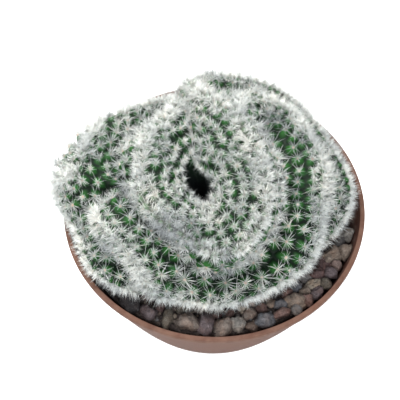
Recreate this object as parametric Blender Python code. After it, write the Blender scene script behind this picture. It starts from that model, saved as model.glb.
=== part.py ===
"""A crested pincushion cactus in a shallow round pot, with soil and a gravel top dressing.

The plant is one stem whose growing point has spread into a line, the crest, which folds
back and forth over a low dome. The fold lines are drawn on a flat map of the dome: a map
point's distance from the middle is its distance down the dome, and its direction is its
azimuth. Lengths are in millimetres here, and become metres where a mesh is made.
"""

import math

import bmesh
import bpy
import numpy as np
from mathutils import Vector, geometry
from mathutils.bvhtree import BVHTree

MM = 0.001

# Pot, standing on the origin with its axis on Z.
POT_HEIGHT = 55.0
RIM_RADIUS = 52.5
FOOT_RADIUS = 33.0
LIP_HEIGHT = 1.8
LIP_STEP = 0.5
LIP_ROUND = 0.3
FOOT_ROUND = 1.0
WALL = 1.2
FLOOR = 2.2
WALL_BULGE_POWER = 0.8
WALL_STEPS = 4
POT_SIDES = 60
DRAIN_RADIUS = 3.0
DRAIN_CIRCLE = 20.0
DRAIN_COUNT = 5
DRAIN_SIDES = 12

# Soil, with the hole that the root stands in.
GAP = 0.3
SOIL_TOP = 44.5
SOIL_SIDES = 40
ROOT_RADIUS = 13.0
ROOT_TAPER = 2.0
ROOT_BOTTOM = 28.0

# Gravel: a thin bed on the soil, heaped against the wall along the front and right, and the
# stones sunk in it.
BED_THICK = 2.0
BED_INNER = 17.0
HEAP_INNER = 34.0
HEAP_RISE = 3.2
HEAP_ARC_DEG = (-140.0, -6.0)
HEAP_RAMP_DEG = 24.0
STONE_RINGS = (38.6, 45.6)
STONE_PROUD = 3.1
STONE_SIZE = 3.4
STONE_SIZE_SPREAD = 0.22
STONE_STRETCH = (0.75, 1.15)
STONE_KNOCKS = (0.86, 1.08)
STONE_SCATTER = 0.6
STONE_PITCH = 6.2

# Dome that the crest folds over.
DOME_CENTRE = (-3.0, 1.0)
EQUATOR_Z = 59.0
DOME_RISE = 26.0
DOME_UNDER = 7.0
OUTLINE_STEP_DEG = 20
OUTLINE_RADII = (
    49.5, 47.5, 48.0, 49.5, 48.5, 47.5, 40.5, 44.5, 50.5,
    52.0, 46.0, 47.5, 44.5, 41.5, 42.5, 42.0, 43.5, 45.5,
)
MAP_EQUATOR = 60.0
MAP_EDGE = 82.0
FOLD_FOOT = 90.0
INNER_Z = 50.0

# Underside: it lies just over the gravel, and narrows to the root through the bed.
UNDERSIDE_SHARE = 0.68
UNDERSIDE_Z = 50.4
NECK_TOP_RADIUS = 18.5
NECK_TOP_Z = 48.2
BED_CLEAR_Z = 47.2

# Folds: how deep the valleys lie under the crest, and the pit that the coil leaves open.
FOLD_DEPTH = 10.5
FOLD_POWER = 2.0
PIT_CENTRE = (-2.5, -9.0)
PIT_HALF = (4.0, 7.6)
PIT_TILT_DEG = -20.0
PIT_DEPTH = 15.0

# Crest lines on the map, each as far as it grows without a break.
CRESTS = (
    (
        (-29, -57), (-37, -51), (-44, -45), (-49, -37), (-53, -29), (-57, -21), (-60, -12),
        (-57, -4), (-49, -1), (-41, -3), (-35, 2), (-34, 8), (-35, 15), (-32, 21),
        (-26, 26), (-20, 29), (-15, 27), (-12, 21), (-12, 15), (-14, 8), (-16, 0),
        (-18, -7), (-17, -14), (-14, -20), (-9, -26), (-3, -31), (4, -34), (11, -32),
        (16, -27), (18, -20), (18, -12), (16, -5), (13, 1), (10, 7), (8, 13), (10, 19),
        (15, 22), (21, 23), (27, 21), (31, 15), (33, 8), (35, 0), (37, -8), (40, -17),
        (44, -27), (44, -37), (39, -47), (30, -55), (19, -60), (7, -62), (-5, -61),
        (-15, -60), (-21, -55), (-22, -46), (-23, -37), (-26, -29), (-30, -23), (-36, -18),
    ),
    (
        (4, 15), (0, 20), (-4, 26), (-5, 33), (2, 38), (12, 39), (22, 38), (31, 34),
        (39, 27), (46, 18), (52, 10), (56, 2), (59, -6), (58, -14), (55, -21),
    ),
)
# Valley lines on the map, where the sides of two folds meet.
VALLEYS = (
    (
        (-19, 23), (-21, 16), (-25, 8), (-29, 0), (-29, -8), (-25, -14), (-19, -21),
        (-13, -29), (-8, -38), (-3, -45), (6, -47), (15, -43), (22, -36), (26, -28),
        (28, -20), (28, -12), (26, -4), (23, 3), (20, 9), (18, 15), (18, 19),
    ),
    ((-29, -8), (-33, -11), (-38, -13), (-42, -20), (-40, -28), (-34, -35), (-29, -43),
     (-27, -52), (-26, -64), (-26, -76)),
    ((4, 26), (6, 30), (14, 32), (24, 31), (33, 26), (38, 19), (41, 11), (44, 2),
     (47, -7), (49, -17), (52, -30), (56, -44)),
    ((-1, -17), (-2, -12), (-3, -6), (-4, 0), (-5, 8), (-6, 16), (-7, 23), (-10, 31),
     (-15, 40), (-22, 52), (-30, 66)),
)
LINE_STEP = 1.0

# Tubercles, closest on the crest, each with a star of spines at its tip.
CREST_PITCH = 3.3
SIDE_PITCH = 4.8
PITCH_REACH = 7.0
FIRST_ROW = 1.3
CLOSEST_SHARE = 0.86
TUBERCLE_RISE = 1.0
TUBERCLE_SINK = 0.9
SPINES = 3
SPINE_LENGTH = 3.6
SPINE_ROOT = 0.34
SPINE_SPLAY_DEG = (24.0, 46.0)
SPINE_FLOOR = POT_HEIGHT + 1.2
SPINE_APART = 0.55
SPINE_MARKS = (0.3, 0.5, 0.7, 0.85, 1.0)
SPINE_TRIES = 14
SPINE_SHORTEST = 0.4
SPINE_CRAMPED = 0.25
EDGE_POINTS = 44
FILL_PITCH = 2.0
SEED = 7


def colour_material(name, colour, roughness):
    """One plain finish."""
    material = bpy.data.materials.new(name)
    material.use_nodes = True
    shader = material.node_tree.nodes["Principled BSDF"]
    shader.inputs["Base Color"].default_value = (*colour, 1.0)
    shader.inputs["Roughness"].default_value = roughness
    material.diffuse_color = (*colour, 1.0)
    return material


def add_object(name, mesh, material=None):
    """Links a mesh to the scene as one named object."""
    obj = bpy.data.objects.new(name, mesh)
    bpy.context.scene.collection.objects.link(obj)
    if material:
        mesh.materials.append(material)
    return obj


def turned(name, profile, sides, material):
    """A solid turned about Z from a profile of (radius, height) that starts and ends on the axis."""
    shape = bmesh.new()
    points = [shape.verts.new((r * MM, 0.0, z * MM)) for r, z in profile]
    edges = [shape.edges.new(pair) for pair in zip(points, points[1:])]
    bmesh.ops.spin(
        shape, geom=points + edges, cent=(0, 0, 0), axis=(0, 0, 1),
        angle=2 * math.pi, steps=sides, use_merge=True,
    )
    bmesh.ops.remove_doubles(shape, verts=shape.verts, dist=1e-6)
    bmesh.ops.recalc_face_normals(shape, faces=shape.faces)
    mesh = bpy.data.meshes.new(name)
    shape.to_mesh(mesh)
    shape.free()
    mesh.shade_smooth()
    mesh.set_sharp_from_angle(angle=math.radians(30))
    return add_object(name, mesh, material)


def wall_radius(z):
    """Outer radius of the pot's wall at a height, swelling a little like a bowl."""
    top = POT_HEIGHT - LIP_HEIGHT
    share = min(z / top, 1.0) ** WALL_BULGE_POWER
    return FOOT_RADIUS + (RIM_RADIUS - LIP_STEP - FOOT_RADIUS) * share


def inner_radius(z):
    """Inner radius of the pot's wall at a height."""
    return wall_radius(z) - WALL


def make_pot(material):
    """The bowl with its lip, and drain holes through the floor."""
    lip_foot = POT_HEIGHT - LIP_HEIGHT
    rises = np.linspace(0.0, lip_foot, WALL_STEPS + 1)[1:]
    outside = [(0.0, 0.0), (FOOT_RADIUS - FOOT_ROUND, 0.0), (FOOT_RADIUS, FOOT_ROUND)]
    outside += [(wall_radius(z), z) for z in rises]
    lip = [
        (RIM_RADIUS - LIP_ROUND, lip_foot),
        (RIM_RADIUS, lip_foot + LIP_ROUND),
        (RIM_RADIUS, POT_HEIGHT - LIP_ROUND),
        (RIM_RADIUS - LIP_ROUND, POT_HEIGHT),
        (inner_radius(lip_foot) + LIP_ROUND, POT_HEIGHT),
        (inner_radius(lip_foot), POT_HEIGHT - LIP_ROUND),
    ]
    inside = [(inner_radius(z), z) for z in rises[::-1]]
    inside += [(inner_radius(FLOOR) - FOOT_ROUND, FLOOR), (0.0, FLOOR)]
    pot = turned("pot", outside + lip + inside, POT_SIDES, material)
    drill = bmesh.new()
    for turn in np.arange(DRAIN_COUNT) * 2 * math.pi / DRAIN_COUNT:
        made = bmesh.ops.create_cone(
            drill, cap_ends=True, segments=DRAIN_SIDES, depth=4 * FLOOR * MM,
            radius1=DRAIN_RADIUS * MM, radius2=DRAIN_RADIUS * MM,
        )
        place = Vector((math.cos(turn), math.sin(turn), 0.0)) * DRAIN_CIRCLE * MM
        bmesh.ops.translate(drill, verts=made["verts"], vec=place)
    mesh = bpy.data.meshes.new("drain_cutter")
    drill.to_mesh(mesh)
    drill.free()
    cutter = add_object("drain_cutter", mesh)
    cutter.hide_render = True
    cutter.display_type = "WIRE"
    holes = pot.modifiers.new("drain_holes", "BOOLEAN")
    holes.operation = "DIFFERENCE"
    holes.object = cutter
    return pot


def make_soil(material):
    """The soil fills the pot to its top, round the hole for the root."""
    bottom = FLOOR + GAP
    rises = np.linspace(bottom, SOIL_TOP, WALL_STEPS)
    # The pot's wall has facets, so the soil also stays clear of their flats.
    flat = math.cos(math.pi / POT_SIDES)
    side = [(inner_radius(z) * flat - 2 * GAP, z) for z in rises[1:]]
    profile = [(0.0, bottom), (inner_radius(FLOOR) - 2 * FOOT_ROUND, bottom)] + side
    profile += [
        (ROOT_RADIUS + GAP, SOIL_TOP),
        (ROOT_RADIUS - ROOT_TAPER + GAP, ROOT_BOTTOM - GAP),
        (0.0, ROOT_BOTTOM - GAP),
    ]
    return turned("soil", profile, SOIL_SIDES, material)


def smooth_line(points, step):
    """Points about a step apart on a Catmull-Rom curve through the given ones."""
    p = np.array(points, float)
    p = np.vstack([2 * p[0] - p[1], p, 2 * p[-1] - p[-2]])
    found = []
    for a, b, c, d in zip(p, p[1:], p[2:], p[3:]):
        count = max(2, int(np.linalg.norm(c - b) / step))
        t = np.linspace(0, 1, count, endpoint=False)[:, None]
        found.append(
            0.5 * (2 * b + (c - a) * t + (2 * a - 5 * b + 4 * c - d) * t**2
                   + (3 * b - a - 3 * c + d) * t**3)
        )
    return np.vstack(found + [p[-2:-1]])


def nearest(points, line):
    """Distance from each point to the nearest of a line's points."""
    gaps = points[:, None, :] - line[None, :, :]
    return np.sqrt((gaps**2).sum(-1)).min(1)


CREST_LINES = [smooth_line(line, LINE_STEP) for line in CRESTS]
CREST_CLOUD = np.vstack(CREST_LINES)
VALLEY_CLOUD = np.vstack([smooth_line(line, LINE_STEP) for line in VALLEYS])


def outline_radius(azimuth):
    """Plan radius of the clump by azimuth, eased between the measured radii."""
    values = np.array(OUTLINE_RADII)
    place = np.degrees(azimuth) % 360 / OUTLINE_STEP_DEG
    low = np.floor(place).astype(int)
    t = place - low
    a, b, c, d = (values[(low + k) % len(values)] for k in (-1, 0, 1, 2))
    return 0.5 * (2 * b + (c - a) * t + (2 * a - 5 * b + 4 * c - d) * t**2
                  + (3 * b - a - 3 * c + d) * t**3)


def fold_depth(points):
    """How far the surface lies under the dome: a rounded crest, a sharp valley and the pit."""
    crest = nearest(points, CREST_CLOUD)
    foot = FOLD_FOOT - np.linalg.norm(points, axis=1)
    valley = np.minimum(nearest(points, VALLEY_CLOUD), np.maximum(foot, 0.0))
    share = crest / (crest + valley + 1e-9)
    tilt = math.radians(PIT_TILT_DEG)
    x, y = (points - PIT_CENTRE).T
    across = x * math.cos(tilt) - y * math.sin(tilt)
    along = x * math.sin(tilt) + y * math.cos(tilt)
    reach = (across / PIT_HALF[0]) ** 2 + (along / PIT_HALF[1]) ** 2
    return FOLD_DEPTH * share**FOLD_POWER + PIT_DEPTH / (1 + reach**2)


def on_plant(points, raise_by=0.0):
    """Map points placed on the folded surface, sunk or raised on the line from the plant's inside."""
    distance = np.linalg.norm(points, axis=1)
    azimuth = np.arctan2(points[:, 1], points[:, 0])
    polar = distance / MAP_EQUATOR * math.pi / 2
    radius = outline_radius(azimuth) * np.sin(polar)
    rise = np.where(np.cos(polar) > 0, DOME_RISE, DOME_UNDER)
    dome = np.stack(
        [DOME_CENTRE[0] + radius * np.cos(azimuth), DOME_CENTRE[1] + radius * np.sin(azimuth),
         EQUATOR_Z + rise * np.cos(polar)], axis=1,
    )
    out = dome - (*DOME_CENTRE, INNER_Z)
    out /= np.linalg.norm(out, axis=1)[:, None]
    return dome + out * (raise_by - fold_depth(points))[:, None]


def pitch_at(points):
    """Spacing of the tubercles: closest on the crest, wider down the sides."""
    share = np.clip(nearest(points, CREST_CLOUD) / PITCH_REACH, 0.0, 1.0)
    return CREST_PITCH + (SIDE_PITCH - CREST_PITCH) * share


def rows_beside(line):
    """Staggered rows of map points on both sides of a crest line."""
    ahead = np.gradient(line, axis=0)
    ahead /= np.linalg.norm(ahead, axis=1)[:, None]
    across = np.stack([-ahead[:, 1], ahead[:, 0]], axis=1)
    found = []
    offset, row = FIRST_ROW, 0
    while offset < 2 * PITCH_REACH:
        pitch = CREST_PITCH + (SIDE_PITCH - CREST_PITCH) * min(offset / PITCH_REACH, 1.0)
        every = max(1, round(pitch / LINE_STEP))
        start = (row % 2) * every // 2
        for side in (-1, 1):
            found.append(line[start::every] + side * offset * across[start::every])
        offset += pitch * math.sqrt(0.75)
        row += 1
    return np.vstack(found)


def tubercle_points():
    """Map points of the tubercles: rows along the crests first, then whatever still fits."""
    grid = np.arange(-MAP_EDGE, MAP_EDGE, FILL_PITCH)
    u, v = np.meshgrid(grid, grid)
    fill = np.stack([u.ravel(), v.ravel()], axis=1)
    wanted = np.vstack([rows_beside(line) for line in CREST_LINES] + [fill])
    wanted = wanted[np.linalg.norm(wanted, axis=1) < MAP_EDGE - SIDE_PITCH / 2]
    place = on_plant(wanted)
    pitch = pitch_at(wanted)
    kept = []
    for i in range(len(wanted)):
        if kept:
            gap = np.linalg.norm(place[kept] - place[i], axis=1).min()
            if gap < pitch[i] * CLOSEST_SHARE:
                continue
        kept.append(i)
    return wanted[kept]


def neighbours_round(corners, count):
    """For each net point, the net points and pits round it in order; a pit is given by its
    triangle's number plus count."""
    after = [{} for _ in range(count)]
    for k, triangle in enumerate(corners):
        for a, b, c in (triangle, np.roll(triangle, -1), np.roll(triangle, -2)):
            after[a][b] = (count + k, c)
    rounds = []
    for steps in after:
        first = here = next(iter(steps))
        order = []
        while here in steps and (not order or here != first):
            pit, there = steps[here]
            order += [here, pit]
            here = there
        rounds.append(order)
    return rounds


def spine_marks(tip, axis, lean, stem, taken, rng):
    """Marks along a spine from a tip, the last at its end. Each try is shorter than the last,
    and the first that meets neither the stem nor the marks of other spines is taken."""
    for turn in range(SPINE_TRIES):
        splay = math.radians(rng.uniform(*SPINE_SPLAY_DEG))
        way = axis * math.cos(splay) + lean * math.sin(splay)
        reach = SPINE_LENGTH * (1 - (1 - SPINE_SHORTEST) * turn / (SPINE_TRIES - 1))
        end = tip + way * reach
        end[2] = max(end[2], SPINE_FLOOR)
        marks = tip + np.outer(SPINE_MARKS, end - tip)
        start = Vector(tip + way * SPINE_APART)
        met = stem.ray_cast(start, Vector(end - tip), reach)[0] is not None
        gap = np.linalg.norm(marks[:, None] - taken[None], axis=2).min() if len(taken) else reach
        if not met and gap > SPINE_APART:
            return marks
    return None


def roots_round(tip, around):
    """The axis of a tubercle's tip, and even directions square to it, one for each spine's root.
    Each points as near as it can to its share of the neighbours, which go round in order."""
    spokes = around - tip
    axis = np.cross(spokes, np.roll(spokes, -1, axis=0)).sum(0)
    axis /= np.linalg.norm(axis)
    side = np.cross(spokes[0], axis)
    side /= np.linalg.norm(side)
    other = np.cross(axis, side)
    angles = np.arctan2(spokes @ other, spokes @ side)
    steps = np.arange(SPINES) * 2 * math.pi / SPINES
    shares = [np.exp(1j * group).mean() for group in np.array_split(angles, SPINES)]
    start = np.angle((np.array(shares) * np.exp(-1j * steps)).sum())
    turns = (start + steps)[:, None]
    return axis, np.cos(turns) * side + np.sin(turns) * other


def spine_star(tip, around, stem, taken, rng):
    """Points of a ring of roots at a tubercle's tip, the tip and the spines' ends, and the marks
    along the spines. Each spine leaves a side of the ring. In a cramped place there is no star."""
    axis, roots = roots_round(tip, around)
    spokes = around - tip
    steepest = (spokes @ axis / np.linalg.norm(spokes, axis=1)).max()
    if steepest > SPINE_CRAMPED:
        return None
    leans = roots + np.roll(roots, -1, axis=0)
    leans /= np.linalg.norm(leans, axis=1)[:, None]
    marks = [spine_marks(tip, axis, lean, stem, taken, rng) for lean in leans]
    if any(passed is None for passed in marks):
        return None
    ends = [passed[-1] for passed in marks]
    return np.vstack([tip + SPINE_ROOT * roots, tip, ends]), np.vstack(marks)


def star_faces(first):
    """Faces of the spines whose points start at an index: each is a three-sided needle."""
    centre = first + SPINES
    faces = []
    for i in range(SPINES):
        a, b, end = first + i, first + (i + 1) % SPINES, centre + 1 + i
        faces += [(a, b, end), (b, centre, end), (centre, a, end)]
    return faces


def grow_stars(high, vertices, corners, growing):
    """The stars of the tubercles that stand clear. Gives their points, their faces, and for
    each tip and neighbour the root in the star that the edge between them leaves from."""
    rng = np.random.default_rng(SEED)
    count = len(high)
    stem = BVHTree.FromPolygons(vertices.tolist(), [
        (a, b, count + k)
        for k, triangle in enumerate(corners.tolist())
        for a, b in zip(triangle, triangle[1:] + triangle[:1])
    ])
    rounds = neighbours_round(corners, count)
    points, faces, leaves = [], [], {}
    taken = np.empty((0, 3))
    for i in growing:
        order = np.roll(rounds[i], rng.integers(len(rounds[i])))
        star = spine_star(high[i], vertices[order], stem, taken, rng)
        if star is None:
            continue
        first = len(vertices) + len(points) * (2 * SPINES + 1)
        points.append(star[0])
        taken = np.vstack([taken, star[1]])
        faces += star_faces(first)
        for k, group in enumerate(np.array_split(order, SPINES)):
            leaves.update({(i, towards): first + k for towards in group})
    return np.vstack(points), faces, leaves


def net_faces(corners, count, leaves):
    """Faces of the net: each triangle's pit is joined to its three sides."""
    faces = []
    for k, triangle in enumerate(corners):
        pit = count + k
        for a, b in zip(triangle, np.roll(triangle, -1)):
            loop = [leaves.get((a, pit), a), leaves.get((a, b), a)]
            loop += [leaves.get((b, a), b), leaves.get((b, pit), b), pit]
            faces.append(tuple(dict.fromkeys(loop)))
    return faces


def make_cactus(material):
    """The folded stem: tubercles raised on a net of map points, spines on them, and the root."""
    tips = tubercle_points()
    around = np.arange(EDGE_POINTS) * 2 * math.pi / EDGE_POINTS
    edge = MAP_EDGE * np.stack([np.cos(around), np.sin(around)], axis=1)
    flat = np.vstack([tips, edge])
    corners = np.array(geometry.delaunay_2d_cdt([Vector(p) for p in flat], [], [], 0, 1e-6)[2])
    high = on_plant(flat, np.where(np.arange(len(flat)) < len(tips), TUBERCLE_RISE, 0.0))
    pits = on_plant(flat[corners].mean(1), -TUBERCLE_SINK)
    vertices = np.vstack([high, pits])
    growing = np.flatnonzero(high[:len(tips), 2] > SPINE_FLOOR + 1)
    stars, faces, leaves = grow_stars(high, vertices, corners, growing)
    faces += net_faces(corners, len(flat), leaves)
    vertices = np.vstack([vertices, stars])
    root, more = root_rings(len(vertices), len(tips))
    mesh = closed_mesh(np.vstack([vertices, root]), faces + more)
    return add_object("crested_cactus", mesh, material)


def closed_mesh(points, faces):
    """A mesh of triangles with its faces outward, from points in millimetres."""
    shape = bmesh.new()
    corners = [shape.verts.new(p * MM) for p in points]
    for face in faces:
        shape.faces.new([corners[i] for i in face])
    bmesh.ops.delete(shape, geom=[v for v in shape.verts if not v.link_faces], context="VERTS")
    bmesh.ops.triangulate(shape, faces=shape.faces)
    bmesh.ops.recalc_face_normals(shape, faces=shape.faces)
    mesh = bpy.data.meshes.new("crested_cactus")
    shape.to_mesh(mesh)
    shape.free()
    return mesh


def root_rings(first, above):
    """Points and faces of the underside and the root. first is the index of the first new
    point, and above that of the first point of the net's edge."""
    around = np.arange(EDGE_POINTS) * 2 * math.pi / EDGE_POINTS
    belly = UNDERSIDE_SHARE * outline_radius(around)
    rings = [(belly, UNDERSIDE_Z), (NECK_TOP_RADIUS, NECK_TOP_Z), (ROOT_RADIUS, BED_CLEAR_Z)]
    rings.append((ROOT_RADIUS - ROOT_TAPER, ROOT_BOTTOM))
    points, faces = [], []
    for radius, z in rings:
        height = np.full(EDGE_POINTS, z)
        points.append(np.stack([radius * np.cos(around), radius * np.sin(around), height], axis=1))
        for i in range(EDGE_POINTS):
            j = (i + 1) % EDGE_POINTS
            faces.append((above + i, first + i, first + j, above + j))
        above, first = first, first + EDGE_POINTS
    faces.append(tuple(above + i for i in range(EDGE_POINTS)))
    return np.vstack(points), faces


def bed_edge():
    """Outer radius of the bed, clear of the flats of the pot's wall."""
    return inner_radius(SOIL_TOP) * math.cos(math.pi / POT_SIDES) - 2 * GAP


def bed_height(radius, azimuth):
    """Top of the bed: level, but rising to the wall within the heaped arc."""
    first, last = HEAP_ARC_DEG
    inside = min(azimuth - first, last - azimuth) / HEAP_RAMP_DEG
    outward = (radius - HEAP_INNER) / (bed_edge() - HEAP_INNER)
    rise = HEAP_RISE * min(max(inside, 0.0), 1.0) * min(max(outward, 0.0), 1.0)
    return SOIL_TOP + GAP + BED_THICK + rise


def make_bed(material):
    """The ring of fine grit that the stones are sunk in."""
    bottom = SOIL_TOP + GAP
    shape = bmesh.new()
    loops = []
    for azimuth in np.linspace(-180.0, 180.0, SOIL_SIDES, endpoint=False):
        turn = math.radians(azimuth)
        profile = [(BED_INNER, bottom), (bed_edge(), bottom)]
        profile += [(r, bed_height(r, azimuth)) for r in (bed_edge(), HEAP_INNER, BED_INNER)]
        loops.append([
            shape.verts.new((r * math.cos(turn) * MM, r * math.sin(turn) * MM, z * MM))
            for r, z in profile
        ])
    for here, there in zip(loops, loops[1:] + loops[:1]):
        for i in range(len(here)):
            shape.faces.new((here[i - 1], here[i], there[i], there[i - 1]))
    bmesh.ops.triangulate(shape, faces=shape.faces)
    bmesh.ops.recalc_face_normals(shape, faces=shape.faces)
    mesh = bpy.data.meshes.new("gravel")
    shape.to_mesh(mesh)
    shape.free()
    return add_object("gravel", mesh, material)


def stone(rng, centre, size):
    """One broken pebble: an icosahedron with its corners pushed in and out, kept off the wall."""
    shape = bmesh.new()
    bmesh.ops.create_icosphere(shape, subdivisions=1, radius=1.0)
    turn = Vector(rng.uniform(-1, 1, 3)).normalized().to_track_quat("Z", "Y").to_matrix()
    stretch = Vector(rng.uniform(*STONE_STRETCH, 3))
    for vertex in shape.verts:
        point = turn @ (vertex.co * stretch) * size * rng.uniform(*STONE_KNOCKS)
        point += Vector(centre)
        point.z = min(max(point.z, SOIL_TOP + 2 * GAP), centre[2] + size)
        limit = inner_radius(point.z) * math.cos(math.pi / POT_SIDES) - 2 * GAP
        shrink = min(1.0, limit / math.hypot(point.x, point.y))
        vertex.co = Vector((point.x * shrink, point.y * shrink, point.z)) * MM
    mesh = bpy.data.meshes.new("stone")
    shape.to_mesh(mesh)
    shape.free()
    return bpy.data.objects.new("stone", mesh)


def keep_outer_skin(mesh):
    """Fills the hollows sealed in by a union and drops loose scraps: the largest skin stays."""
    shape = bmesh.new()
    shape.from_mesh(mesh)
    left = set(shape.faces)
    skins = []
    while left:
        skin, edge = set(), [left.pop()]
        while edge:
            face = edge.pop()
            skin.add(face)
            found = {f for e in face.edges for f in e.link_faces} & left
            left -= found
            edge += found
        skins.append(skin)
    skins.sort(key=len)
    spare = [face for skin in skins[:-1] for face in skin]
    bmesh.ops.delete(shape, geom=spare, context="FACES")
    shape.to_mesh(mesh)
    shape.free()


def make_gravel(material):
    """The bed, with rings of stones fused into it by one union."""
    rng = np.random.default_rng(SEED)
    gravel = make_bed(material)
    stones = bpy.data.collections.new("stones")
    bpy.context.scene.collection.children.link(stones)
    for ring_radius in STONE_RINGS:
        count = int(2 * math.pi * ring_radius / STONE_PITCH)
        for turn in (np.arange(count) + rng.uniform()) * 2 * math.pi / count:
            azimuth = (math.degrees(turn) + 180) % 360 - 180
            size = STONE_SIZE * rng.uniform(1 - STONE_SIZE_SPREAD, 1 + STONE_SIZE_SPREAD)
            reach = ring_radius + rng.uniform(-STONE_SCATTER, STONE_SCATTER)
            level = bed_height(reach, azimuth) + STONE_PROUD
            centre = (reach * math.cos(turn), reach * math.sin(turn), level - size)
            stones.objects.link(stone(rng, centre, size))
    join = gravel.modifiers.new("stones", "BOOLEAN")
    join.operation = "UNION"
    join.operand_type = "COLLECTION"
    join.collection = stones
    join.solver = "MANIFOLD"
    view = bpy.context.evaluated_depsgraph_get()
    fused = bpy.data.meshes.new_from_object(gravel.evaluated_get(view))
    gravel.modifiers.clear()
    keep_outer_skin(fused)
    gravel.data = fused
    for obj in list(stones.objects):
        bpy.data.objects.remove(obj)
    bpy.data.collections.remove(stones)
    return gravel


def main():
    for obj in list(bpy.data.objects):
        bpy.data.objects.remove(obj)
    make_pot(colour_material("terracotta_plastic", (0.36, 0.19, 0.13), 0.55))
    make_soil(colour_material("potting_soil", (0.06, 0.045, 0.035), 0.95))
    make_gravel(colour_material("pumice_gravel", (0.28, 0.22, 0.19), 0.9))
    make_cactus(colour_material("cactus_green", (0.12, 0.28, 0.12), 0.6))


main()
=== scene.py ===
"""Looks of the potted crested pincushion cactus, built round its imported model.

Lengths are in millimetres, as in the part's source, and become metres where a mesh is made.
The fold lines of the plant are drawn on a flat map of its dome: a map point's distance from
the middle is its distance down the dome, and its direction is its azimuth.
"""

import math

import bpy
import numpy as np
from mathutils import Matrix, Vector


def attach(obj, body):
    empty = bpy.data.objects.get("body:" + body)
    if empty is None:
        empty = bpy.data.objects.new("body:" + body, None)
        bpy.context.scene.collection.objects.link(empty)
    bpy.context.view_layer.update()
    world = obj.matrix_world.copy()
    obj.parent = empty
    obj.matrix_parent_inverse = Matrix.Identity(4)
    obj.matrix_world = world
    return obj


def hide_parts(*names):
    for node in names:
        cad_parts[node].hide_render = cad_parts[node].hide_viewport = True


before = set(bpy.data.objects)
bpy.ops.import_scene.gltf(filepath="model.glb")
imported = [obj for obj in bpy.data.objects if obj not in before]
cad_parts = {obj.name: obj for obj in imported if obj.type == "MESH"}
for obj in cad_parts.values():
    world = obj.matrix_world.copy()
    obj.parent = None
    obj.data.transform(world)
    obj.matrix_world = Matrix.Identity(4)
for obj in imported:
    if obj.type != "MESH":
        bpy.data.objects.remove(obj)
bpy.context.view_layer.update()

MM = 0.001
FLOOR_GLOW = 0.42

# Camera, above the front of the pot and looking down into it.
CAMERA_PLACE = (0.0, -161.013, 308.130)
CAMERA_TARGET = (-4.97, 0.55, 55.0)
CAMERA_LENS = 77.2
CAMERA_SENSOR = 36.0

# Pot, with the same driving sizes as the part's source.
POT_HEIGHT = 55.0
RIM_RADIUS = 52.5
FOOT_RADIUS = 33.0
LIP_HEIGHT = 1.8
LIP_STEP = 0.5
LIP_ROUND = 0.3
FOOT_ROUND = 1.0
WALL = 1.2
FLOOR = 2.2
WALL_BULGE_POWER = 0.8
WALL_STEPS = 36
ROUND_STEPS = 5
POT_TURNS = 180
DRAIN_RADIUS = 3.0
DRAIN_CIRCLE = 20.0
DRAIN_COUNT = 5
DRAIN_SIDES = 40

# Bed of grit on the soil, heaped against the wall along the front and right.
GAP = 0.3
SOIL_TOP = 44.5
BED_THICK = 2.0
BED_INNER = 17.0
BED_MARGIN = 0.5
HEAP_INNER = 34.0
HEAP_RISE = 3.2
HEAP_ARC_DEG = (-140.0, -6.0)
HEAP_RAMP_DEG = 24.0
BED_ROUGHNESS = 0.45
BED_GRID = (50, 300)

# Stones: the large ones by azimuth in degrees, distance from the axis, length, width and
# height in mm, turn in degrees from the radial direction, and kind.
STONES_SEEN = (
    (-126, 46.0, 6.4, 4.6, 4.2, 80, "dark"), (-117, 46.0, 6.2, 4.6, 4.6, 85, "purple"),
    (-108, 45.2, 7.2, 3.4, 4.4, 10, "olive"), (-100, 44.4, 7.6, 7.4, 6.0, 0, "tan_grey"),
    (-92, 44.6, 7.0, 5.2, 5.0, 10, "purple"), (-85, 45.4, 7.4, 5.8, 5.6, 5, "tan_grey"),
    (-79, 45.0, 4.8, 4.6, 4.6, 0, "pale"), (-73.5, 46.8, 3.6, 3.4, 3.6, 0, "brown"),
    (-67, 46.4, 6.4, 5.0, 5.0, 70, "blue_grey"), (-66, 41.6, 3.6, 3.2, 3.4, 0, "red"),
    (-60, 46.3, 5.4, 3.2, 3.8, 80, "red"), (-57, 43.0, 4.8, 4.2, 4.2, 30, "blue_grey"),
    (-52, 45.0, 6.2, 5.2, 5.0, 40, "tan"), (-47.5, 47.4, 4.2, 3.8, 3.8, 0, "red"),
    (-45, 44.2, 3.6, 3.2, 3.4, 0, "tan"), (-40, 44.7, 6.6, 3.4, 3.8, 70, "tan_pale"),
    (-42.5, 47.4, 4.6, 3.6, 4.0, 85, "purple"), (-46, 40.6, 4.2, 3.8, 3.8, 0, "blue_grey"),
    (-35, 43.6, 5.2, 4.4, 4.4, 20, "red_dark"), (-29, 43.4, 5.6, 4.8, 4.6, 60, "red_dark"),
    (-31.5, 47.0, 4.4, 3.8, 4.2, 0, "purple"), (-26.5, 47.4, 3.8, 3.4, 3.6, 0, "pink"),
    (-23.5, 44.2, 7.4, 5.2, 5.0, 60, "tan"), (-19, 47.6, 6.4, 5.0, 5.2, 80, "tan"),
    (-14.5, 45.4, 4.6, 3.2, 3.6, 70, "grey"), (-9.5, 47.4, 5.4, 4.4, 4.8, 40, "pale"),
    (-12, 43.0, 3.6, 3.2, 3.4, 0, "brown"), (-37, 47.8, 3.8, 3.2, 3.6, 0, "olive"),
    (-54, 47.8, 3.6, 3.0, 3.4, 0, "grey"), (-133, 44.0, 4.8, 4.2, 4.0, 0, "blue_grey"),
)
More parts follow.
